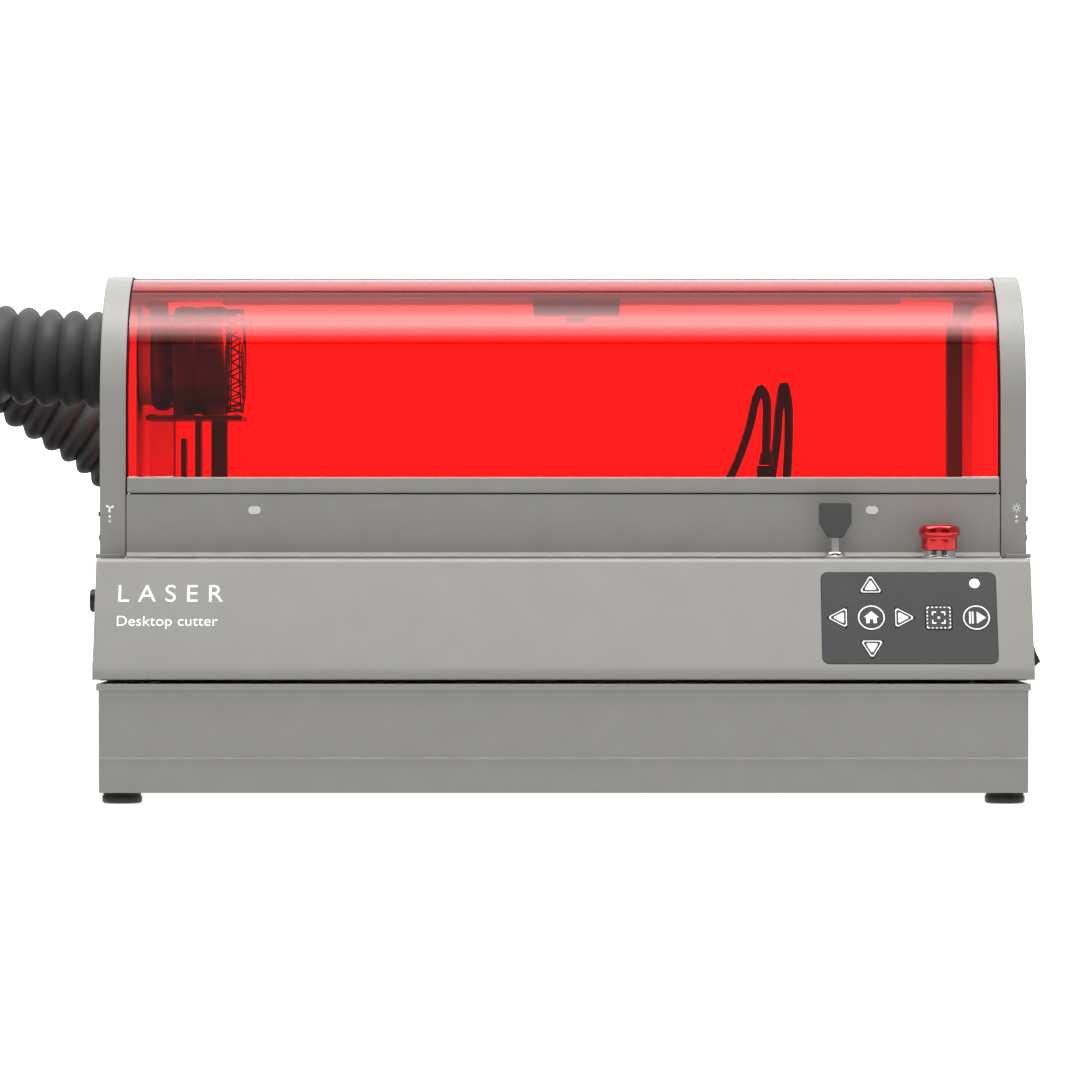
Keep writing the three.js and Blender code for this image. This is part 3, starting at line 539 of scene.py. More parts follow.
def spline(points, spacing):
    """A centripetal curve through the points, in even steps of about that spacing, in metres."""
    points = [Vector(p) for p in points]
    ends = [points[0] * 2 - points[1], *points, points[-1] * 2 - points[-2]]
    dense = []
    for four in zip(ends, ends[1:], ends[2:], ends[3:]):
        knots = [0.0]
        for a, b in zip(four, four[1:]):
            knots.append(knots[-1] + sqrt((b - a).length))
        for step in range(24):
            t = knots[1] + (knots[2] - knots[1]) * step / 24
            level = four
            for spans in (((0, 1), (1, 2), (2, 3)), ((0, 2), (1, 3)), ((1, 2),)):
                level = [a.lerp(b, (t - knots[low]) / (knots[high] - knots[low]))
                         for a, b, (low, high) in zip(level, level[1:], spans)]
            dense.append(level[0])
    dense.append(points[-1])
    lengths = [0.0]
    for a, b in zip(dense, dense[1:]):
        lengths.append(lengths[-1] + (b - a).length)
    count = max(2, round(lengths[-1] / spacing))
    even, index = [], 0
    for step in range(count + 1):
        wanted = lengths[-1] * step / count
        while index < len(lengths) - 2 and lengths[index + 1] < wanted:
            index += 1
        span = lengths[index + 1] - lengths[index]
        even.append(dense[index].lerp(dense[index + 1], (wanted - lengths[index]) / span if span else 0))
    return even, lengths[-1]


def swept(path, radius_at, sides):
    """A closed tube round the path, whose radius in metres comes from the distance along it."""
    tangents = [(b - a).normalized() for a, b in zip([path[0], *path], [*path[1:], path[-1]])]
    tangents[0] = (path[1] - path[0]).normalized()
    up = Vector((1, 0, 0)) if abs(tangents[0].z) > 0.9 else Vector((0, 0, 1))
    verts, faces = [], []
    travelled = 0.0
    for i, (point, tangent) in enumerate(zip(path, tangents)):
        if i:
            travelled += (point - path[i - 1]).length
            up = tangents[i - 1].rotation_difference(tangent) @ up
        side = tangent.cross(up).normalized()
        up = side.cross(tangent).normalized()
        for s in range(sides):
            angle = tau * s / sides
            verts.append(point + (side * cos(angle) + up * sin(angle)) * radius_at(travelled))
        if i:
            base = (i - 1) * sides
            faces += [(base + s, base + (s + 1) % sides, base + sides + (s + 1) % sides, base + sides + s)
                      for s in range(sides)]
    faces.append(tuple(range(sides - 1, -1, -1)))
    faces.append(tuple(range(len(verts) - sides, len(verts))))
    return verts, faces


# ---------- exhaust hose ----------

HOSE_DIAMETER = 0.070
HOSE_ROUTE = [
    (-306.8, 152, 298.5), (-325, 152, 298.6), (-352, 152, 299.8), (-380, 152.5, 301.8), (-410, 154, 304.3),
    (-440, 159, 306.6), (-492, 175, 309.5), (-540, 205, 311), (-572, 250, 311.5), (-584, 306, 311),
    (-572, 362, 311), (-540, 410, 311.5), (-492, 440, 312), (-458, 451, 310.5), (-427, 456, 303),
    (-395, 458, 283), (-351, 459, 254), (-313, 459, 221), (-272, 459, 186), (-235, 459, 150),
    (-197, 459, 115), (-155, 458, 82), (-108, 457, 56),
    (-60, 455, 41), (-10, 452, 35.3), (45, 449, 35.3), (100, 447, 35.3), (155, 447, 35.3), (205, 448, 35.3),
    (240, 448, 35.3),
]


def make_hose():
    pitch = 16.8 * MM
    steps_per_rib = 8
    route = [Vector(point) * MM for point in HOSE_ROUTE]
    path, length = spline(route, pitch / steps_per_rib)
    crest, valley = HOSE_DIAMETER / 2, HOSE_DIAMETER / 2 - 6.5 * MM

    def radius_at(travelled):
        """Rounded ribs with narrow valleys between them."""
        return valley + (crest - valley) * abs(sin(pi * travelled / pitch)) ** 0.75

    hose = mesh_object("corrugated_hose", *swept(path, radius_at, 56), HOSE_RUBBER, smooth=True)
    hose.data.set_sharp_from_angle(angle=radians(70))
    piece(hose, "chassis", "hose_rubber", "exhaust_hose")

    lo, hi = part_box("hose_cuff")
    middle = (lo + hi) / 2
    cuff_profile = softened([(30, 0), (35, 0), (35, 12), (33.5, 14), (33.5, 45), (30, 45), (30, 0)], 1.2)
    cuff = Build().revolve(cuff_profile, 64, facing((1, 0, 0), (lo.x, middle.y, middle.z)))
    cuff.around(24, (2, -0.8, 34.6), (10, 0.8, 35.6), moved((lo.x, middle.y, middle.z)), axis="X")
    cuff_obj = cuff.piece("hose_end_cuff", BLACK, "black_plastic", "hose_cuff", smooth=True)


# ---------- CAD panels: finish and soft edges ----------

FINISHES = {
    PAINT: "base_tub drawer_front drawer_tray mid_housing side_panel_left side_panel_right front_panel "
           "roof_panel rear_panel lid_bar lid_hinge_strip",
    FASCIA_PAINT: "fascia",
    REAR_ACRYLIC: "rear_window",
    CHARCOAL: "control_plate key_home key_left key_right key_up key_down key_frame key_start",
    BLACK: "fan_slider light_slider camera_module head_fan x_motor y_motor estop_stem",
    BLACK_METAL: "laser_head carriage fan_bracket",
    ALUMINIUM: "light_bar y_rail_left y_rail_right x_beam gantry_end_left gantry_end_right nozzle x_pulley",
    STEEL: "drive_shaft hinge_pin",
    FAN_PLASTIC: "exhaust_rotor hose_spigot",
}
EDGE_RADII = {"fascia": 0.5, "control_plate": 0.15, "drawer_front": 0.5, "side_panel_left": 0.9,
              "side_panel_right": 0.9, "rear_window": 0.4,
              "laser_head": 0.8, "camera_module": 1.5, "roof_panel": 0.4, "x_motor": 1.5, "y_motor": 1.5}


def finish_cad_nodes():
    for material, names in FINISHES.items():
        for name in names.split():
            node = NODES[name]
            node.data.materials.clear()
            node.data.materials.append(material)
            width = 0.12 if name.startswith("key_") else EDGE_RADII.get(name, 0.35)
            bevelled(node, width)


def make_lid_sheet():
    """The curved acrylic, with a fine arc so that its reflections run smoothly."""
    lo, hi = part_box("lid_window")
    front, top, bottom, rear = lo.y / MM, hi.z / MM, lo.z / MM, hi.y / MM
    radius, thick, edge = 88.5, 3.0, 0.35
    middle_y, middle_z = front + radius, top - radius
    outer = [(front + edge, bottom), (front, bottom + edge), (front, bottom + 3), (front, middle_z - 2)]
    outer += quarter(middle_y, middle_z, radius, 90)
    outer += [(middle_y + 2, top), (rear - edge, top), (rear, top - edge)]
    reach = radius - thick
    inner = [(rear, top - thick), (middle_y, top - thick)]
    inner += reversed(quarter(middle_y, middle_z, reach, 90))
    inner += [(front + thick, middle_z - 2), (front + thick, bottom)]
    sheet = Build().prism(outer + inner, lo.x / MM, hi.x / MM, ALONG_X)
    sheet.piece("lid_sheet", RED_ACRYLIC, "red_acrylic", "lid_window", body="lid", smooth=True)


# ---------- control panel marks ----------

def panel_matrix(point):
    """Local X along the machine, local Y up the slanted face, local Z out of it."""
    up = Vector((0, sin(SLANT), cos(SLANT)))
    out = Vector((0, -cos(SLANT), sin(SLANT)))
    turn = Matrix((Vector((1, 0, 0)), up, out)).transposed().to_4x4()
    return moved(point) @ turn


def key_top(node):
    """The matrix of a key's top face; a key reaches from 1.6 mm below the face to 0.6 mm above it."""
    matrix = panel_matrix(corner_mean(node))
    return matrix @ moved((0, 0, 1.1 * MM))


def mark(node, name, shapes):
    build = Build()
    for verts, faces in shapes:
        build.add(verts, faces, key_top(node))
    build.piece(name, WHITE_INK_GLOW, "charcoal", body=node)


def triangle(radius, turn):
    """A triangle with its corners cut, so that it stays inside the rounded key."""
    corners = circle(radius, 3, turn=turn)
    cut = 0.12
    points = []
    for i, (x, y) in enumerate(corners):
        for nx, ny in (corners[i - 1], corners[(i + 1) % 3]):
            points.append((x + (nx - x) * cut, y + (ny - y) * cut))
    return points


def ring_mark(radius, width):
    return band(circle(radius, 64), circle(radius - width, 64), *INK)


def make_key_marks():
    for node, turn in {"key_up": 90, "key_left": 180, "key_down": 270, "key_right": 0}.items():
        angle = radians(turn)
        mark(node, f"mark_{node}", [
            band(triangle(8.6, angle), triangle(7.3, angle), *INK),
            prism(triangle(4.9, angle), *INK),
        ])
    house = mirrored([(0, 4.6), (4.9, 0.2), (3.4, 0.2), (3.4, -4.0), (1.2, -4.0), (1.2, -1.2)])
    mark("key_home", "mark_key_home", [ring_mark(8.7, 0.85), prism(house, *INK)])
    bars = [prism(rounded(1.1, 8.6, 0.2, x), *INK) for x in (-4.2, -2.4)]
    play = prism([(0.2, 4.3), (6.3, 0), (0.2, -4.3)], *INK)
    mark("key_start", "mark_key_start", [ring_mark(8.7, 0.85), *bars, play])

    # The framing key: a dashed square round four corner marks
    half, dash = 7.4, 1.4
    dashes = []
    for step in range(6):
        along = -6.7 + step * 13.4 / 5
        for side in (-half, half):
            dashes.append(prism(rounded(dash, 0.8, 0.2, along, side), *INK))
            dashes.append(prism(rounded(0.8, dash, 0.2, side, along), *INK))
    for sx in (-1, 1):
        for sy in (-1, 1):
            corner = [(4.4, 4.4), (1.6, 4.4), (1.6, 3.5), (3.5, 3.5), (3.5, 1.6), (4.4, 1.6)]
            dashes.append(prism([(sx * x, sy * y) for x, y in corner], *INK))
    dashes.append(prism(circle(0.9, 20), *INK))
    mark("key_frame", "mark_key_frame", dashes)

    plate = panel_matrix(centre("control_plate")) @ moved((42.9 * MM, 24.7 * MM, 0.55 * MM))
    lamp = Build().revolve(softened([(0, 0.45), (3.0, 0.4), (3.4, 0), (0, 0)], 0.3), 40, plate)
    lamp.piece("status_lamp", LAMP, "charcoal", smooth=True)


def text_mesh(name, words, size, spacing, matrix):
    """Generic lettering as a thin printed mesh whose left foot is at the matrix's origin."""
    curve = bpy.data.curves.new(name, "FONT")
    curve.body = words
    curve.size = size * MM
    curve.space_character = spacing
    curve.extrude = PRINT / 2
    curve.resolution_u = 6
    temporary = linked(name + "_text", curve)
    bpy.context.view_layer.update()
    mesh = bpy.data.meshes.new_from_object(temporary.evaluated_get(bpy.context.evaluated_depsgraph_get()))
    bpy.data.objects.remove(temporary)
    bpy.data.curves.remove(curve)
    mesh.transform(matrix @ moved((0, 0, PRINT / 2)))
    mesh.name = name
    mesh.materials.clear()
    mesh.materials.append(WHITE_INK_GLOW)
    return piece(linked(name, mesh), "chassis", "fascia_grey")


def make_name_marks():
    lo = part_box("fascia")[0]
    foot_z, line_x = 88 * MM, lo.x + 14 * MM
    for name, words, size, spacing, height in [
        ("word_upper", "LASER", 17.5, 1.62, 130.5), ("word_lower", "Desktop cutter", 10.4, 1.02, 115.0),
    ]:
        z = height * MM
        y = lo.y + (z - foot_z) * tan(SLANT)
        text_mesh(name, words, size, spacing, panel_matrix(Vector((line_x, y, z))))


# ---------- switches ----------

def make_estop():
    x, y, _ = centre("estop_cap")
    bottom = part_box("estop_cap")[0].z
    profile = [(11.3, 0), (11.9, 0), (11.9, 7.4), (12.2, 8.2), (13.3, 9.4), (13.75, 10.8), (13.75, 12.2),
               (13.5, 13.8), (12.6, 15.3), (10.8, 16.3), (8.8, 16.5), (7.8, 16.1), (0, 16.1)]
    inner = [(0, 8.5), (4.4, 8.5), (4.4, 3.5), (11.3, 3.5), (11.3, 0)]
    cap = Build().revolve(softened(inner + profile[1:], 0.5), 72, moved((x, y, bottom)))
    cap.piece("estop_mushroom", RED_METAL, "red_metal", "estop_cap", body="estop_cap", smooth=True)

    # Three turning arrows pressed into the top of the cap
    arrows = Build()
    for turn in range(3):
        spin = rolled(turn * tau / 3)
        arc = [(5.6 * cos(a), 5.6 * sin(a)) for a in [radians(d) for d in range(0, 71, 10)]]
        arc += [(4.7 * cos(a), 4.7 * sin(a)) for a in [radians(d) for d in range(70, -1, -10)]]
        head = [(6.4 * cos(1.2), 6.4 * sin(1.2)), (5.1 * cos(1.6), 5.1 * sin(1.6)),
                (3.9 * cos(1.2), 3.9 * sin(1.2))]
        place = moved((x, y, bottom + 16.1 * MM)) @ spin
        arrows.prism(arc, 0.0, 0.1, place).prism(head, 0.0, 0.1, place)
    arrows.piece("estop_arrows", WHITE_INK_GLOW, "red_metal", body="estop_cap")

    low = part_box("estop_collar")[0].z
    at = moved((x, y, low))
    collar = Build().revolve(softened(
        [(4.8, 0), (11.0, 0), (11.0, 1.5), (10.4, 1.8), (10.4, 4.9), (9.4, 4.9), (9.4, 0.8), (4.8, 0.8),
         (4.8, 0)], 0.2), 64, at)
    collar.around(40, (10.2, -0.3, 1.9), (10.7, 0.3, 4.6), at)
    collar.piece("estop_ring", CHROME, "chrome", "estop_collar", smooth=True)


def make_key_switch():
    x, y, _ = centre("key")
    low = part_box("key_barrel")[0].z
    profile = [(0, 0), (5.5, 0), (5.5, 18.8), (6.5, 18.8), (6.6, 21.2), (5.8, 22.6), (3.9, 22.9), (3.6, 21.5),
               (0, 21.5)]
    barrel = Build().revolve(softened(profile, 0.35), 56, moved((x, y, low)))
    barrel.piece("key_bezel", CHROME, "chrome", "key_barrel", smooth=True)

    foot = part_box("key")[0].z
    upright = moved((x, y, foot)) @ TO_FRONT
    shank = Build().prism([(-2.5, 0), (2.5, 0), (2.5, 11.5), (-2.5, 11.5)], -1.2, 1.2, upright)
    shank.piece("key_shank", CHROME, "chrome", body="key", bevel=0.25)
    head = mirrored([(4.8, 9.8), (10.7, 19.8), (10.7, 31.6), (9.2, 33.2)])
    grip = Build().prism(head, -1.6, 1.6, upright)
    head_obj = bevelled(grip.make("key_head", KEY_PLASTIC), 0.7, 3)
    piece(head_obj, "key", "charcoal", "key")


def make_side_controls():
    # Rocker switch, proud of its bezel at the lower end, seen along -Y
    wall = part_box("fascia")[1].x
    rocker = centre("rocker_switch")
    middle = Vector((wall, rocker.y, 94 * MM))
    at = moved(middle) @ side_turn(1)
    bezel = Build().band(rounded(13.4, 20.6, 1.4, 0, 0.6), rounded(10.0, 14.8, 0.4), 0.02, 0.5, at)
    bezel.piece("rocker_bezel", BLACK, "black_plastic", bevel=0.15)
    outline = [(-4.6, -4.6), (0.6, -5.7), (2.2, -5.9), (6.2, -2.4), (5.7, -1.2), (3.3, 3.6), (1.9, 8.6),
               (1.1, 10.6), (0.75, 10.6), (0.75, 6.6), (-1.4, 6.6), (-4.6, 4.4)]
    upright = moved(middle) @ TO_FRONT
    switch = Build().prism(outline, -4.4, 4.4, upright)
    switch.piece("rocker_paddle", BLACK, "black_plastic", "rocker_switch", body="rocker_switch", bevel=0.35)

    # Knurled nut and socket of the port on the left
    port = centre("side_port")
    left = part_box("side_port")[0].x
    to_left = facing((-1, 0, 0), (left + 12 * MM, port.y, port.z))
    profile = [(0, 5), (3.4, 5), (3.4, 12), (6.4, 12), (7.25, 11.2), (7.25, 8.0), (6.6, 7.75), (5.0, 7.7),
               (5, 0), (0, 0)]
    body = Build().revolve(softened(profile, 0.3), 48, to_left)
    body.around(28, (7.0, -0.3, 8.3), (7.5, 0.3, 11.0), to_left)
    body.revolve([(0, 5.0), (1.0, 5.0), (1.0, 11.0), (0.7, 11.4), (0, 11.5)], 20, to_left)
    body.piece("port_socket", BLACK, "black_plastic", "side_port", smooth=True)

    # Slider bezels, with a dot and a ring for the two positions, and a picture of what each one switches
    for side, node in ((-1, "fan_slider"), (1, "light_slider")):
        y = centre(node).y
        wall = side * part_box("side_panel_right")[1].x
        plate = Build().band(rounded(10.4, 17, 1.5), rounded(4.0, 9.0, 0.4), 0.02, 0.6,
                            moved((wall, y, 186.1 * MM)) @ side_turn(side))
        plate.piece(f"{node}_bezel", BLACK, "black_plastic", bevel=0.15)
    make_pillar_marks()


def side_turn(side):
    """Local X along Y, local Y up, local Z outward on a side wall."""
    x_axis, y_axis, z_axis = Vector((0, side, 0)), Vector((0, 0, 1)), Vector((side, 0, 0))
    return Matrix((x_axis, y_axis, z_axis)).transposed().to_4x4()


def make_pillar_marks():
    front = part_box("side_panel_left")[0].y
    for side, name in ((-1, "fan"), (1, "light")):
        x = side * (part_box("side_panel_right")[1].x - 6.6 * MM)
        at = moved((x, front - 0.02 * MM, 191.5 * MM)) @ TO_FRONT
        build = Build()
        if name == "fan":
            for blade in range(3):
                spin = at @ rolled(blade * tau / 3 + 0.5)
                petal = [(0.5, -0.25), (1.5, -0.9), (2.7, -0.7), (3.1, 0.2), (2.4, 0.55), (1.3, 0.35),
                         (0.5, 0.4)]
                build.prism(petal, 0, 0.07, spin)
            build.prism(circle(0.55, 16), 0, 0.07, at)
        else:
            build.band(circle(1.5, 28), circle(1.1, 28), 0, 0.07, at)
            for ray in range(8):
                spin = at @ rolled(ray * pi / 4)
                build.prism(rounded(1.0, 0.42, 0.15, 2.5), 0, 0.07, spin)
        down = moved((0, -5.6 * MM, 0))
        build.prism(circle(0.8, 20), 0, 0.07, at @ down)
        down = moved((0, -8.6 * MM, 0))
        build.band(circle(0.85, 20), circle(0.5, 20), 0, 0.07, at @ down)
        build.piece(f"pillar_mark_{name}", WHITE_INK_GLOW, "body_grey")


# ---------- hood details ----------

def screw(build, origin, axis, radius=2.6):
    """A button-head screw with a hexagon socket, standing on a face."""
    head = [(0, 0.55), (radius * 0.5, 0.55), (radius * 0.5, 1.45), (radius * 0.72, 1.3), (radius * 0.93, 0.8),
            (radius, 0.02), (radius * 0.6, 0.0)]
    at = facing(axis, origin)
    verts, faces = revolve(head, 24)
    build.add(verts, faces, at)
    build.band(circle(radius * 0.52, 6), circle(radius * 0.4, 6), 0.5, 1.45, at)


def make_screws():
    right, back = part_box("side_panel_right")[1].x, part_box("rear_panel")[1].y
    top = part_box("lid_window")[1].z
    flank = [(-150, 316), (-196, 209), (-196, 172), (60, 335), (250, 325), (250, 175), (20, 170), (-190, 95),
             (-190, 145), (30, 95), (260, 95), (260, 145)]
    rear = [(x, 171) for x in (-280, -140, 0, 140, 280)] + [(-280, 250), (280, 250)]
    groups = [(f"side_screws_{name}", (side, 0, 0), 2.6, [(side * right, y * MM, z * MM) for y, z in flank])
              for side, name in SIDES]
    groups += [
        ("rear_screws", (0, 1, 0), 2.6, [(x * MM, back, z * MM) for x, z in rear]),
        ("roof_screws", (0, 0, 1), 2.2,
         [(x * MM, y * MM, top) for x in (-240, -80, 80, 240) for y in (-34, 245)]),
    ]
    for name, axis, radius, spots in groups:
        build = Build()
        for spot in spots:
            screw(build, spot, axis, radius)
        build.piece(name, BLACK_METAL, "black_metal", smooth=True)


def make_hood_trim():
    front = -210.5 * MM
    for side, name in SIDES:
        at = moved((side * 202.5 * MM, front, 190 * MM)) @ TO_FRONT
        inlay = Build().prism(rounded(8.2, 5.2, 2.55, steps=10), -0.05, 0.5, at)
        inlay.piece(f"lock_inlay_{name}", INLAY, "body_grey", bevel=0.25)
        # Foot flange under each pillar: a strip in front of it and a lip outside it
        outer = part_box("side_panel_right")[1].x
        inside, edge, lip = (side * (outer + reach * MM) for reach in (-14, 0.02, 2.6))
        low, high, face = 158.6 * MM, 161.4 * MM, front - 0.02 * MM
        flange = Build().block((inside, front - 2.4 * MM, low), (lip, face, high))
        flange.block((edge, face, low), (lip, front + 16 * MM, high))
        flange.piece(f"pillar_foot_{name}", PAINT, "body_grey", bevel=0.4)


def make_drawer_bead():
    """The pressed line along the drawer front."""
    lo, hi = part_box("base_tub")
    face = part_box("drawer_front")[0].y / MM + 1.5
    profile = [(face + y, z) for y, z in [(0.6, 28.0), (0.02, 28.2), (-0.6, 28.9), (-0.6, 29.6), (0.02, 30.3),
                                          (0.6, 30.5)]]
    bead = Build().prism(profile, lo.x / MM + 0.4, hi.x / MM - 0.4, ALONG_X)
    bead.piece("drawer_bead", PAINT, "body_grey", body="drawer", smooth=True)


SEAL_LOW = 160.0    # bottom of the pillar seals, mm


def make_gap_seals():
    """Dark strips on the chassis behind the gaps round the closed lid."""
    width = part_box("lid_window")[1].x - 0.8 * MM
    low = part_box("front_panel")[1].z + 0.03 * MM
    strip = Build().block((-width, -202.6 * MM, low), (width, -200.9 * MM, low + 2.6 * MM))
    strip.piece("sill_seal", SEAL_AND_SHADE, "rubber", bevel=0.3)
    reach = 83.6
    for side, name in SIDES:
        x = side * 286.7 * MM
        spots = [(HOOD_CENTRE[0] - reach, z) for z in (SEAL_LOW, 203, 230)]
        spots += [*quarter(*HOOD_CENTRE, reach, 24), (-60, HOOD_CENTRE[1] + reach)]
        path = [Vector((x, y * MM, z * MM)) for y, z in spots]
        seal = mesh_object(f"pillar_seal_{name}", *swept(path, lambda _: 1.3 * MM, 12), SEAL_AND_SHADE, smooth=True)
        piece(seal, "chassis", "rubber")


def make_liners():
    """Pale sheets on the inner side walls, cut out round the duct, with a fold along the rear corners."""
    back, thin, low, top = 262.6, 0.8, 178, 339
    outline = quarter(*HOOD_CENTRE, 82, 16)
    duct = centre("exhaust_rotor")
    hole = circle(40, 33, duct.y / MM, duct.z / MM, pi / 2)
    hole.append(hole[0])
    for (side, name), fold in zip(SIDES, (283.5, 294)):
        sheet = outline + [(duct.y / MM, top)]
        if side < 0:
            sheet += list(reversed(hole))
        sheet += [(duct.y / MM + 0.01, top), (back, top), (back, low), (outline[0][0], low)]
        out = Matrix(((0, 0, side, 0), (1, 0, 0, 0), (0, 1, 0, 0), (0, 0, 0, 1)))
        build = Build().prism(sheet, 301.0, 301.8, out)
        build.piece(f"liner_{name}", LINER, "body_grey")
        strip = [(side * x, y) for x, y in [(300.9, back), (fold, back), (fold, back - thin),
                                            (300.9, back - thin)]]
        folded = Build().prism(strip, low, 330)
        folded.piece(f"corner_fold_{name}", FOLD_SHADE if side > 0 else LINER, "body_grey")
        if side > 0:
            # A dark strip across the right rear corner: painted shade where the corner's inner face lies in
            # shadow.
            shade_strip = [(283.2, 262.4), (293.7, 262.4), (293.7, 261.6), (283.2, 261.6)]
            shade_piece = Build().prism(shade_strip, low, 330)
            shade_piece.piece("corner_shade_strip_right", SEAL_AND_SHADE, "rubber")


def make_roof_fittings():
    lo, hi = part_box("light_bar")
    strip = Build().block((lo.x + 6 * MM, lo.y + 3 * MM, lo.z - 1.0 * MM),
                          (hi.x - 6 * MM, hi.y - 3 * MM, lo.z - 0.02 * MM))
    strip.piece("light_diffuser", STRIP_LIGHT, "aluminium", bevel=0.5)
    lens = centre("camera_module")
    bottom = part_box("camera_module")[0].z
    profile = [(0, 0.9), (2.6, 0.5), (3.6, 0.0), (5.6, -0.6), (7.4, -0.6), (7.6, 0), (7.6, 3.2), (0, 3.2)]
    ring = Build().revolve(profile, 40, moved((lens.x, lens.y, bottom)))
    ring.piece("camera_lens", BLACK, "black_plastic", smooth=True)


# ---------- inside: bed, drive and head ----------

def make_honeycomb():
    lo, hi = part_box("honeycomb_bed")
    cell, wall, rim = 13.0, 0.7, 12
    width, depth = (hi.x - lo.x) / MM - rim, (hi.y - lo.y) / MM - rim
    reach = cell / sqrt(3)
    columns, rows = int(width / cell), int(depth / (1.5 * reach))
    middle = (lo + hi) / 2
    build = Build()
    low, high = lo.z / MM, hi.z / MM - 0.2
    for row in range(rows):
        for column in range(columns - row % 2):
            x = (column - (columns - 1) / 2 + 0.5 * (row % 2)) * cell + middle.x / MM
            y = (row - (rows - 1) / 2) * 1.5 * reach + middle.y / MM
            outer = circle(reach, 6, x, y, pi / 6)
            inner = circle(reach - wall, 6, x, y, pi / 6)
            start = len(build.verts)
            for outline, height in ((outer, high), (inner, high), (inner, low)):
                build.verts += [Vector((px * MM, py * MM, height * MM)) for px, py in outline]
            for i in range(6):
                j = (i + 1) % 6
                build.faces.append((start + i, start + j, start + 6 + j, start + 6 + i))
                build.faces.append((start + 6 + i, start + 6 + j, start + 12 + j, start + 12 + i))
    outline = rounded((hi.x - lo.x) / MM, (hi.y - lo.y) / MM, 2, middle.x / MM, middle.y / MM, 2)
    hole = rounded(width, depth, 1, middle.x / MM, middle.y / MM, 2)
    build.band(outline, hole, lo.z / MM, hi.z / MM)
    build.piece("honeycomb_cells", BED_STEEL, "aluminium", "honeycomb_bed")


def belt_loop(name, path_points, width_axis, width, thickness, body):
    """A flat closed belt along the points, as a thin band."""
    verts, faces = [], []
    count = len(path_points)
    for i, point in enumerate(path_points):
        tangent = (path_points[(i + 1) % count] - path_points[i - 1]).normalized()
        out = tangent.cross(width_axis).normalized() * thickness / 2
        for across in (-0.5, 0.5):
            verts.append(point + out + width_axis * width * across)
            verts.append(point - out + width_axis * width * across)
    for i in range(count):
        a, b = 4 * i, 4 * ((i + 1) % count)
        faces += [(a, b, b + 2, a + 2), (a + 1, a + 3, b + 3, b + 1), (a, a + 1, b + 1, b),
                  (a + 2, b + 2, b + 3, a + 3)]
    belt = mesh_object(name, verts, faces, BELT_RUBBER)
    piece(belt, body, "rubber")


def make_belts():
    # X belt round the motor pulley and an idler at the far end of the beam
    pulley = centre("x_pulley")
    radius = 6.9 * MM
    idler_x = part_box("x_beam")[1].x - 12 * MM
    height = pulley.z + 1 * MM
    points = []
    for middle_x, first in ((pulley.x, pi / 2), (idler_x, -pi / 2)):
        half_turn = [first + pi * step / 12 for step in range(13)]
        points += [Vector((middle_x + radius * cos(a), pulley.y + radius * sin(a), height))
                   for a in half_turn]
    belt_loop("x_belt", points, Vector((0, 0, 1)), 6 * MM, 1.2 * MM, "gantry")
    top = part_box("x_beam")[1].z
    idler = Build().revolve(softened([(0, 0), (3, 0), (3, 1), (7.6, 1), (7.6, 2), (6.2, 2), (6.2, 9),
                                           (7.6, 9), (7.6, 10), (2.6, 10), (2.6, 12), (0, 12)], 0.3), 40,
                        moved((idler_x, pulley.y, top)))
    idler.piece("x_idler", ALUMINIUM, "aluminium", body="gantry", smooth=True)

    # One open belt per Y rail, held at both ends
    for side, name in SIDES:
        rail_lo, rail_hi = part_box(f"y_rail_{name}")
        x = side * 260 * MM
        z = rail_hi.z + 12.3 * MM
        build = Build().block((x - 3 * MM, rail_lo.y + 2 * MM, z - 0.6 * MM),
                              (x + 3 * MM, rail_hi.y - 2 * MM, z))
        build.piece(f"y_belt_{name}", BELT_RUBBER, "rubber")
        clamps = Build()
        for y0, y1 in ((rail_lo.y, rail_lo.y + 8 * MM), (rail_hi.y - 8 * MM, rail_hi.y)):
            clamps.block((x - 4 * MM, y0, rail_hi.z - 0.05 * MM), (x + 4 * MM, y1, z + 1.6 * MM))
        clamps.piece(f"y_belt_clamps_{name}", BLACK_METAL, "black_metal", bevel=0.5)


def make_head_details():
    lo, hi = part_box("laser_head")
    x, _, z = centre("head_fan")
    front = lo.y
    guard = Build()
    at = moved((x, front, z)) @ TO_FRONT
    for radius in (18.2, 12.6, 7.2):
        guard.band(circle(radius + 0.5, 40), circle(radius - 0.5, 40), 0.0, 1.0, at)
    for arm in range(3):
        guard.prism(rounded(13.5, 1.2, 0.5, 12), 0.05, 0.95, at @ rolled(arm * 2.0944 + 0.5))
    guard.prism(circle(7.2, 32), 0.1, 0.9, at)
    guard.piece("head_fan_guard", BLACK, "black_plastic", body="laser_head")
    plate = Build().prism(rounded(34, 12, 2), 0.02, 0.8,
                        moved((x, front, lo.z + 13 * MM)) @ TO_FRONT)
    plate.piece("head_nameplate", ALUMINIUM, "aluminium", body="laser_head", bevel=0.2)
    screws = Build()
    for sx in (-18.5, 18.5):
        for dz in (-18.5, 18.5):
            screw(screws, (x + sx * MM, front, z + dz * MM), (0, -1, 0), 1.7)
    screws.piece("head_screws", STEEL, "steel", body="laser_head", smooth=True)
    knob = Build().revolve(softened([(0, 0), (3, 0), (3, 3), (7, 3), (7, 11), (5.8, 12), (0, 12)], 0.5), 36,
                       facing((-1, 0, 0), (lo.x + 9.3 * MM, centre("nozzle").y, 150 * MM)))
    knob.piece("focus_knob", BLACK, "black_plastic", body="laser_head", smooth=True)


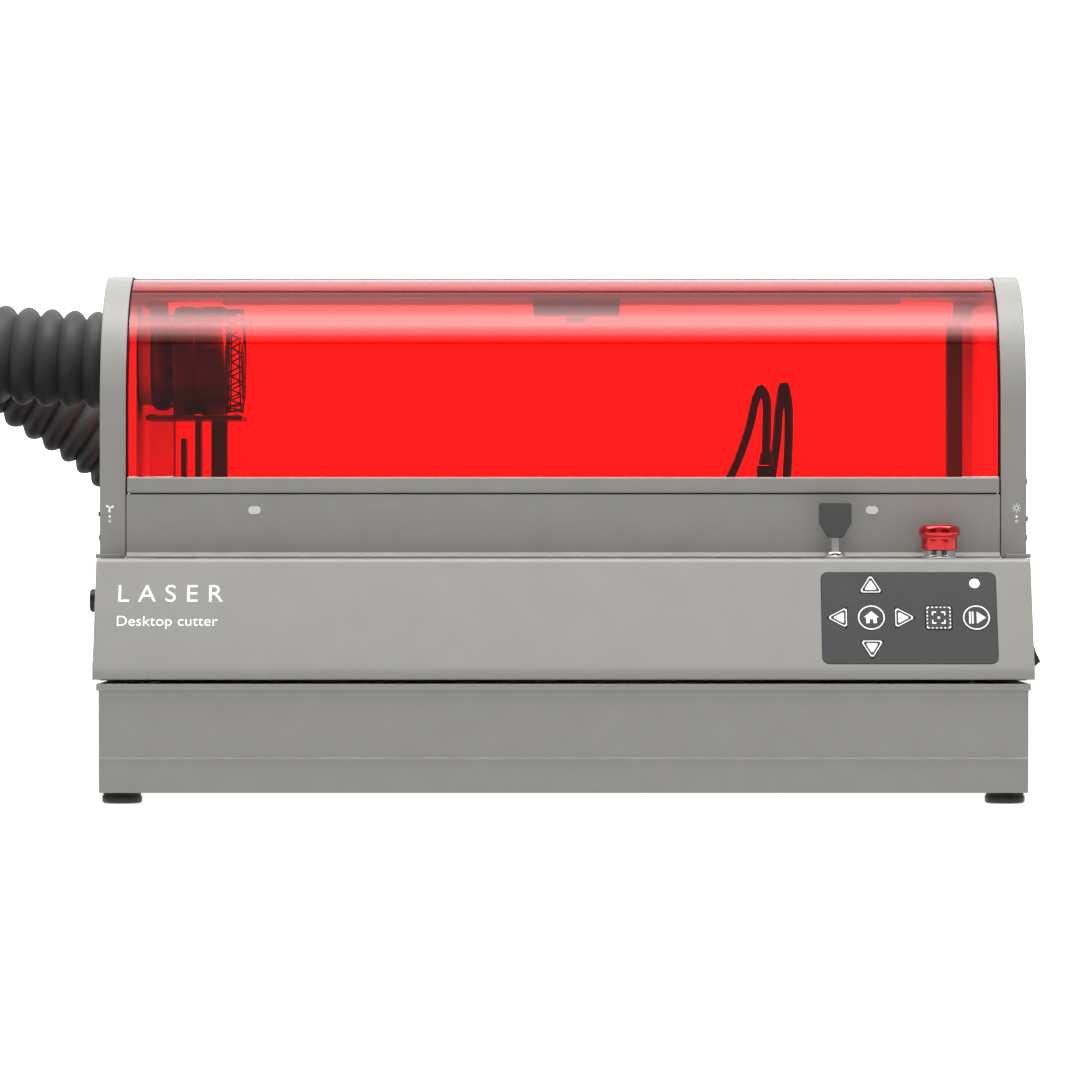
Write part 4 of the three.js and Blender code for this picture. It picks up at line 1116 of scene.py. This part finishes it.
CABLES = {    # Y of each cable's plane, then X and Z along it
    "head_cable_front": (21, [
        (110, 197.5), (110.2, 202), (112.5, 208), (118, 217), (125, 234), (130.5, 251), (134, 267),
        (138, 276), (141.6, 268), (142, 250), (141.5, 232), (141.5, 222.5)]),
    "head_cable_rear": (33, [
        (143.8, 198.5), (144, 203), (145, 209), (147, 222), (149.5, 242), (151, 262), (154.2, 279),
        (157.4, 264), (157.6, 240), (156.5, 215), (156.2, 204), (156.1, 198.5)]),
}


def make_head_cables():
    for node, (y, route) in CABLES.items():
        path, _ = spline([Vector((x, y, z)) * MM for x, z in route], 2.0 * MM)
        cable = mesh_object(f"{node}_jacket", *swept(path, lambda _: 3.2 * MM, 24), CABLE_BLACK, smooth=True)
        piece(cable, "laser_head", "cable_black", node)
        collars = Build()
        for end, nearby in ((path[0], path[1]), (path[-1], path[-2])):
            collars.revolve(softened([(0, 0), (5.2, 0), (5.2, 3), (4, 9), (0, 9)], 0.5), 28,
                        facing(nearby - end, end))
        collars.piece(f"{node}_glands", BLACK, "black_plastic", body="laser_head", smooth=True)


def make_fan():
    """Intake ring of open zigzag bars, motor body and a puffy outlet disc, on a flanged foot."""
    lo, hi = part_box("exhaust_fan_housing")
    spin = centre("exhaust_rotor")
    at = facing((1, 0, 0), (lo.x, spin.y, spin.z))
    neck = [(30, 0), (31.5, 0), (31.5, 8.5), (30, 8.5), (30, 0)]
    Build().revolve(neck, 56, at).piece("duct_neck", LINER, "black_plastic", smooth=True)

    disc_profile = [(31, 8.6), (32, 8.2), (34.4, 10.2), (35.6, 13.2), (35.6, 17.4), (34.6, 20), (32.5, 21.6),
                    (31, 21.6), (31, 8.6)]
    body_profile = [(31, 23.6), (35.4, 23.6), (37.9, 24.8), (38.4, 27), (38.4, 40), (38.0, 40.3),
                    (38.0, 41.2), (38.4, 41.5), (38.4, 60.2), (37.4, 62), (31, 62), (31, 23.6)]
    build = Build().revolve(softened(disc_profile, 1.6, 3), 80, at)
    build.revolve(softened(body_profile, 0.8, 2), 80, at)
    build.around(6, (31.2, -1.6, 21), (33.4, 1.6, 24), at, offset=0.5)
    for low, high in ((44, 58), (28, 38)):
        build.around(30, (38.0, -0.7, low), (39.0, 0.7, high), at)
    build.around(3, (9, -2, 9), (32, 2, 13), at)
    build.revolve([(0, 8.6), (11, 8.6), (11, 13.5), (10, 14.2), (0, 14.2)], 40, at)

    # Foot flange with four screws, and the saddle that carries the body on it
    foot = [(-41, 5.2), (-38, 5.8), (-34, 5.2), (34, 5.2), (38, 5.8), (41, 5.2), (41, 2.6), (-41, 2.6)]
    saddle = moved((lo.x, spin.y, lo.z)) @ ALONG_X
    build.prism([(y, z - 2.4) for y, z in foot], 5.6, 73.6, saddle)
    for low, high in ((24.5, 33), (48, 60.5)):
        build.prism([(-27, 2.6), (27, 2.6), (22, 14.5), (-22, 14.5)], low, high, saddle)
    for sx in (9.5, 69.5):
        for sy in (-33, -11, 11, 33):
            screw(build, (lo.x + sx * MM, spin.y + sy * MM, lo.z + 2.8 * MM), (0, 0, 1), 2.8)
    build.piece("fan_shell", FAN_PLASTIC, "black_plastic", "exhaust_fan_housing", smooth=True)

    # Open intake ring: zigzag bars between two thin hoops, and a wire guard over the end
    guard = Build()
    for low in (62.2, 71.4):
        guard.band(circle(37.2, 72), circle(35.8, 72), low, low + 1.2, at)
    zigzags = 22
    for bar in range(2 * zigzags):
        start, stop = bar * pi / zigzags, (bar + 1) * pi / zigzags
        if bar % 2:
            start, stop = stop, start
        low, high = [Vector((36.5 * cos(a), 36.5 * sin(a), h)) * MM
                     for a, h in ((start, 62.8), (stop, 71.9))]
        guard.add(*swept([at @ low, at @ low.lerp(high, 0.5), at @ high], lambda _: 0.7 * MM, 8))
    for radius in (30, 23.5, 17, 10.5):
        guard.band(circle(radius + 0.6, 56), circle(radius - 0.6, 56), 72.7, 73.8, at)
    for arm in range(8):
        guard.prism(rounded(27, 1.3, 0.5, 23.5), 72.75, 73.6, at @ rolled(arm * pi / 4))
    guard.prism(circle(10.5, 32), 72.7, 73.7, at)
    guard.piece("fan_guard", BLACK_METAL, "black_metal")


def make_feet():
    for node in [name for name in NODES if name.startswith("foot_")]:
        lo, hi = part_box(node)
        middle = (lo + hi) / 2
        height = (hi.z - lo.z) / MM
        profile = [(0, 0), (11.6, 0), (12.8, 0.9), (13, 1.6), (13, 4.6), (12.3, 5.1), (12.3, height),
                   (0, height)]
        foot = Build().revolve(softened(profile, 0.3, 2), 56, moved((middle.x, middle.y, lo.z)))
        foot.piece(node + "_pad", RUBBER, "rubber", node, smooth=True)


def make_board():
    """Control board on stand-offs behind the fascia."""
    plate = centre("control_plate")
    lo = Vector((plate.x - 70 * MM, -226 * MM, 90 * MM))
    hi = Vector((plate.x + 50 * MM, -224.4 * MM, 136 * MM))
    board = Build().block(lo, hi)
    board.piece("control_board", BOARD_GREEN, "charcoal")
    chips = Build()
    for dx, dz, w, h, t in [(20, 22, 14, 14, 1.6), (48, 24, 8, 8, 1.2), (70, 12, 22, 8, 6), (95, 30, 10, 16, 5),
                            (30, 38, 26, 5, 4), (100, 8, 12, 8, 8)]:
        chips.block((lo.x + (dx - w / 2) * MM, lo.y - t * MM, lo.z + (dz - h / 2) * MM),
                         (lo.x + (dx + w / 2) * MM, lo.y - 0.02 * MM, lo.z + (dz + h / 2) * MM))
    chips.piece("board_parts", BLACK, "black_plastic", bevel=0.3)


make_camera()
make_hose()
make_studio()
finish_cad_nodes()
make_lid_sheet()
make_key_marks()
make_name_marks()
make_estop()
make_key_switch()
make_side_controls()
make_screws()
make_hood_trim()
make_drawer_bead()
make_gap_seals()
make_liners()
make_roof_fittings()
make_honeycomb()
make_belts()
make_head_details()
make_head_cables()
make_fan()
make_feet()
make_board()
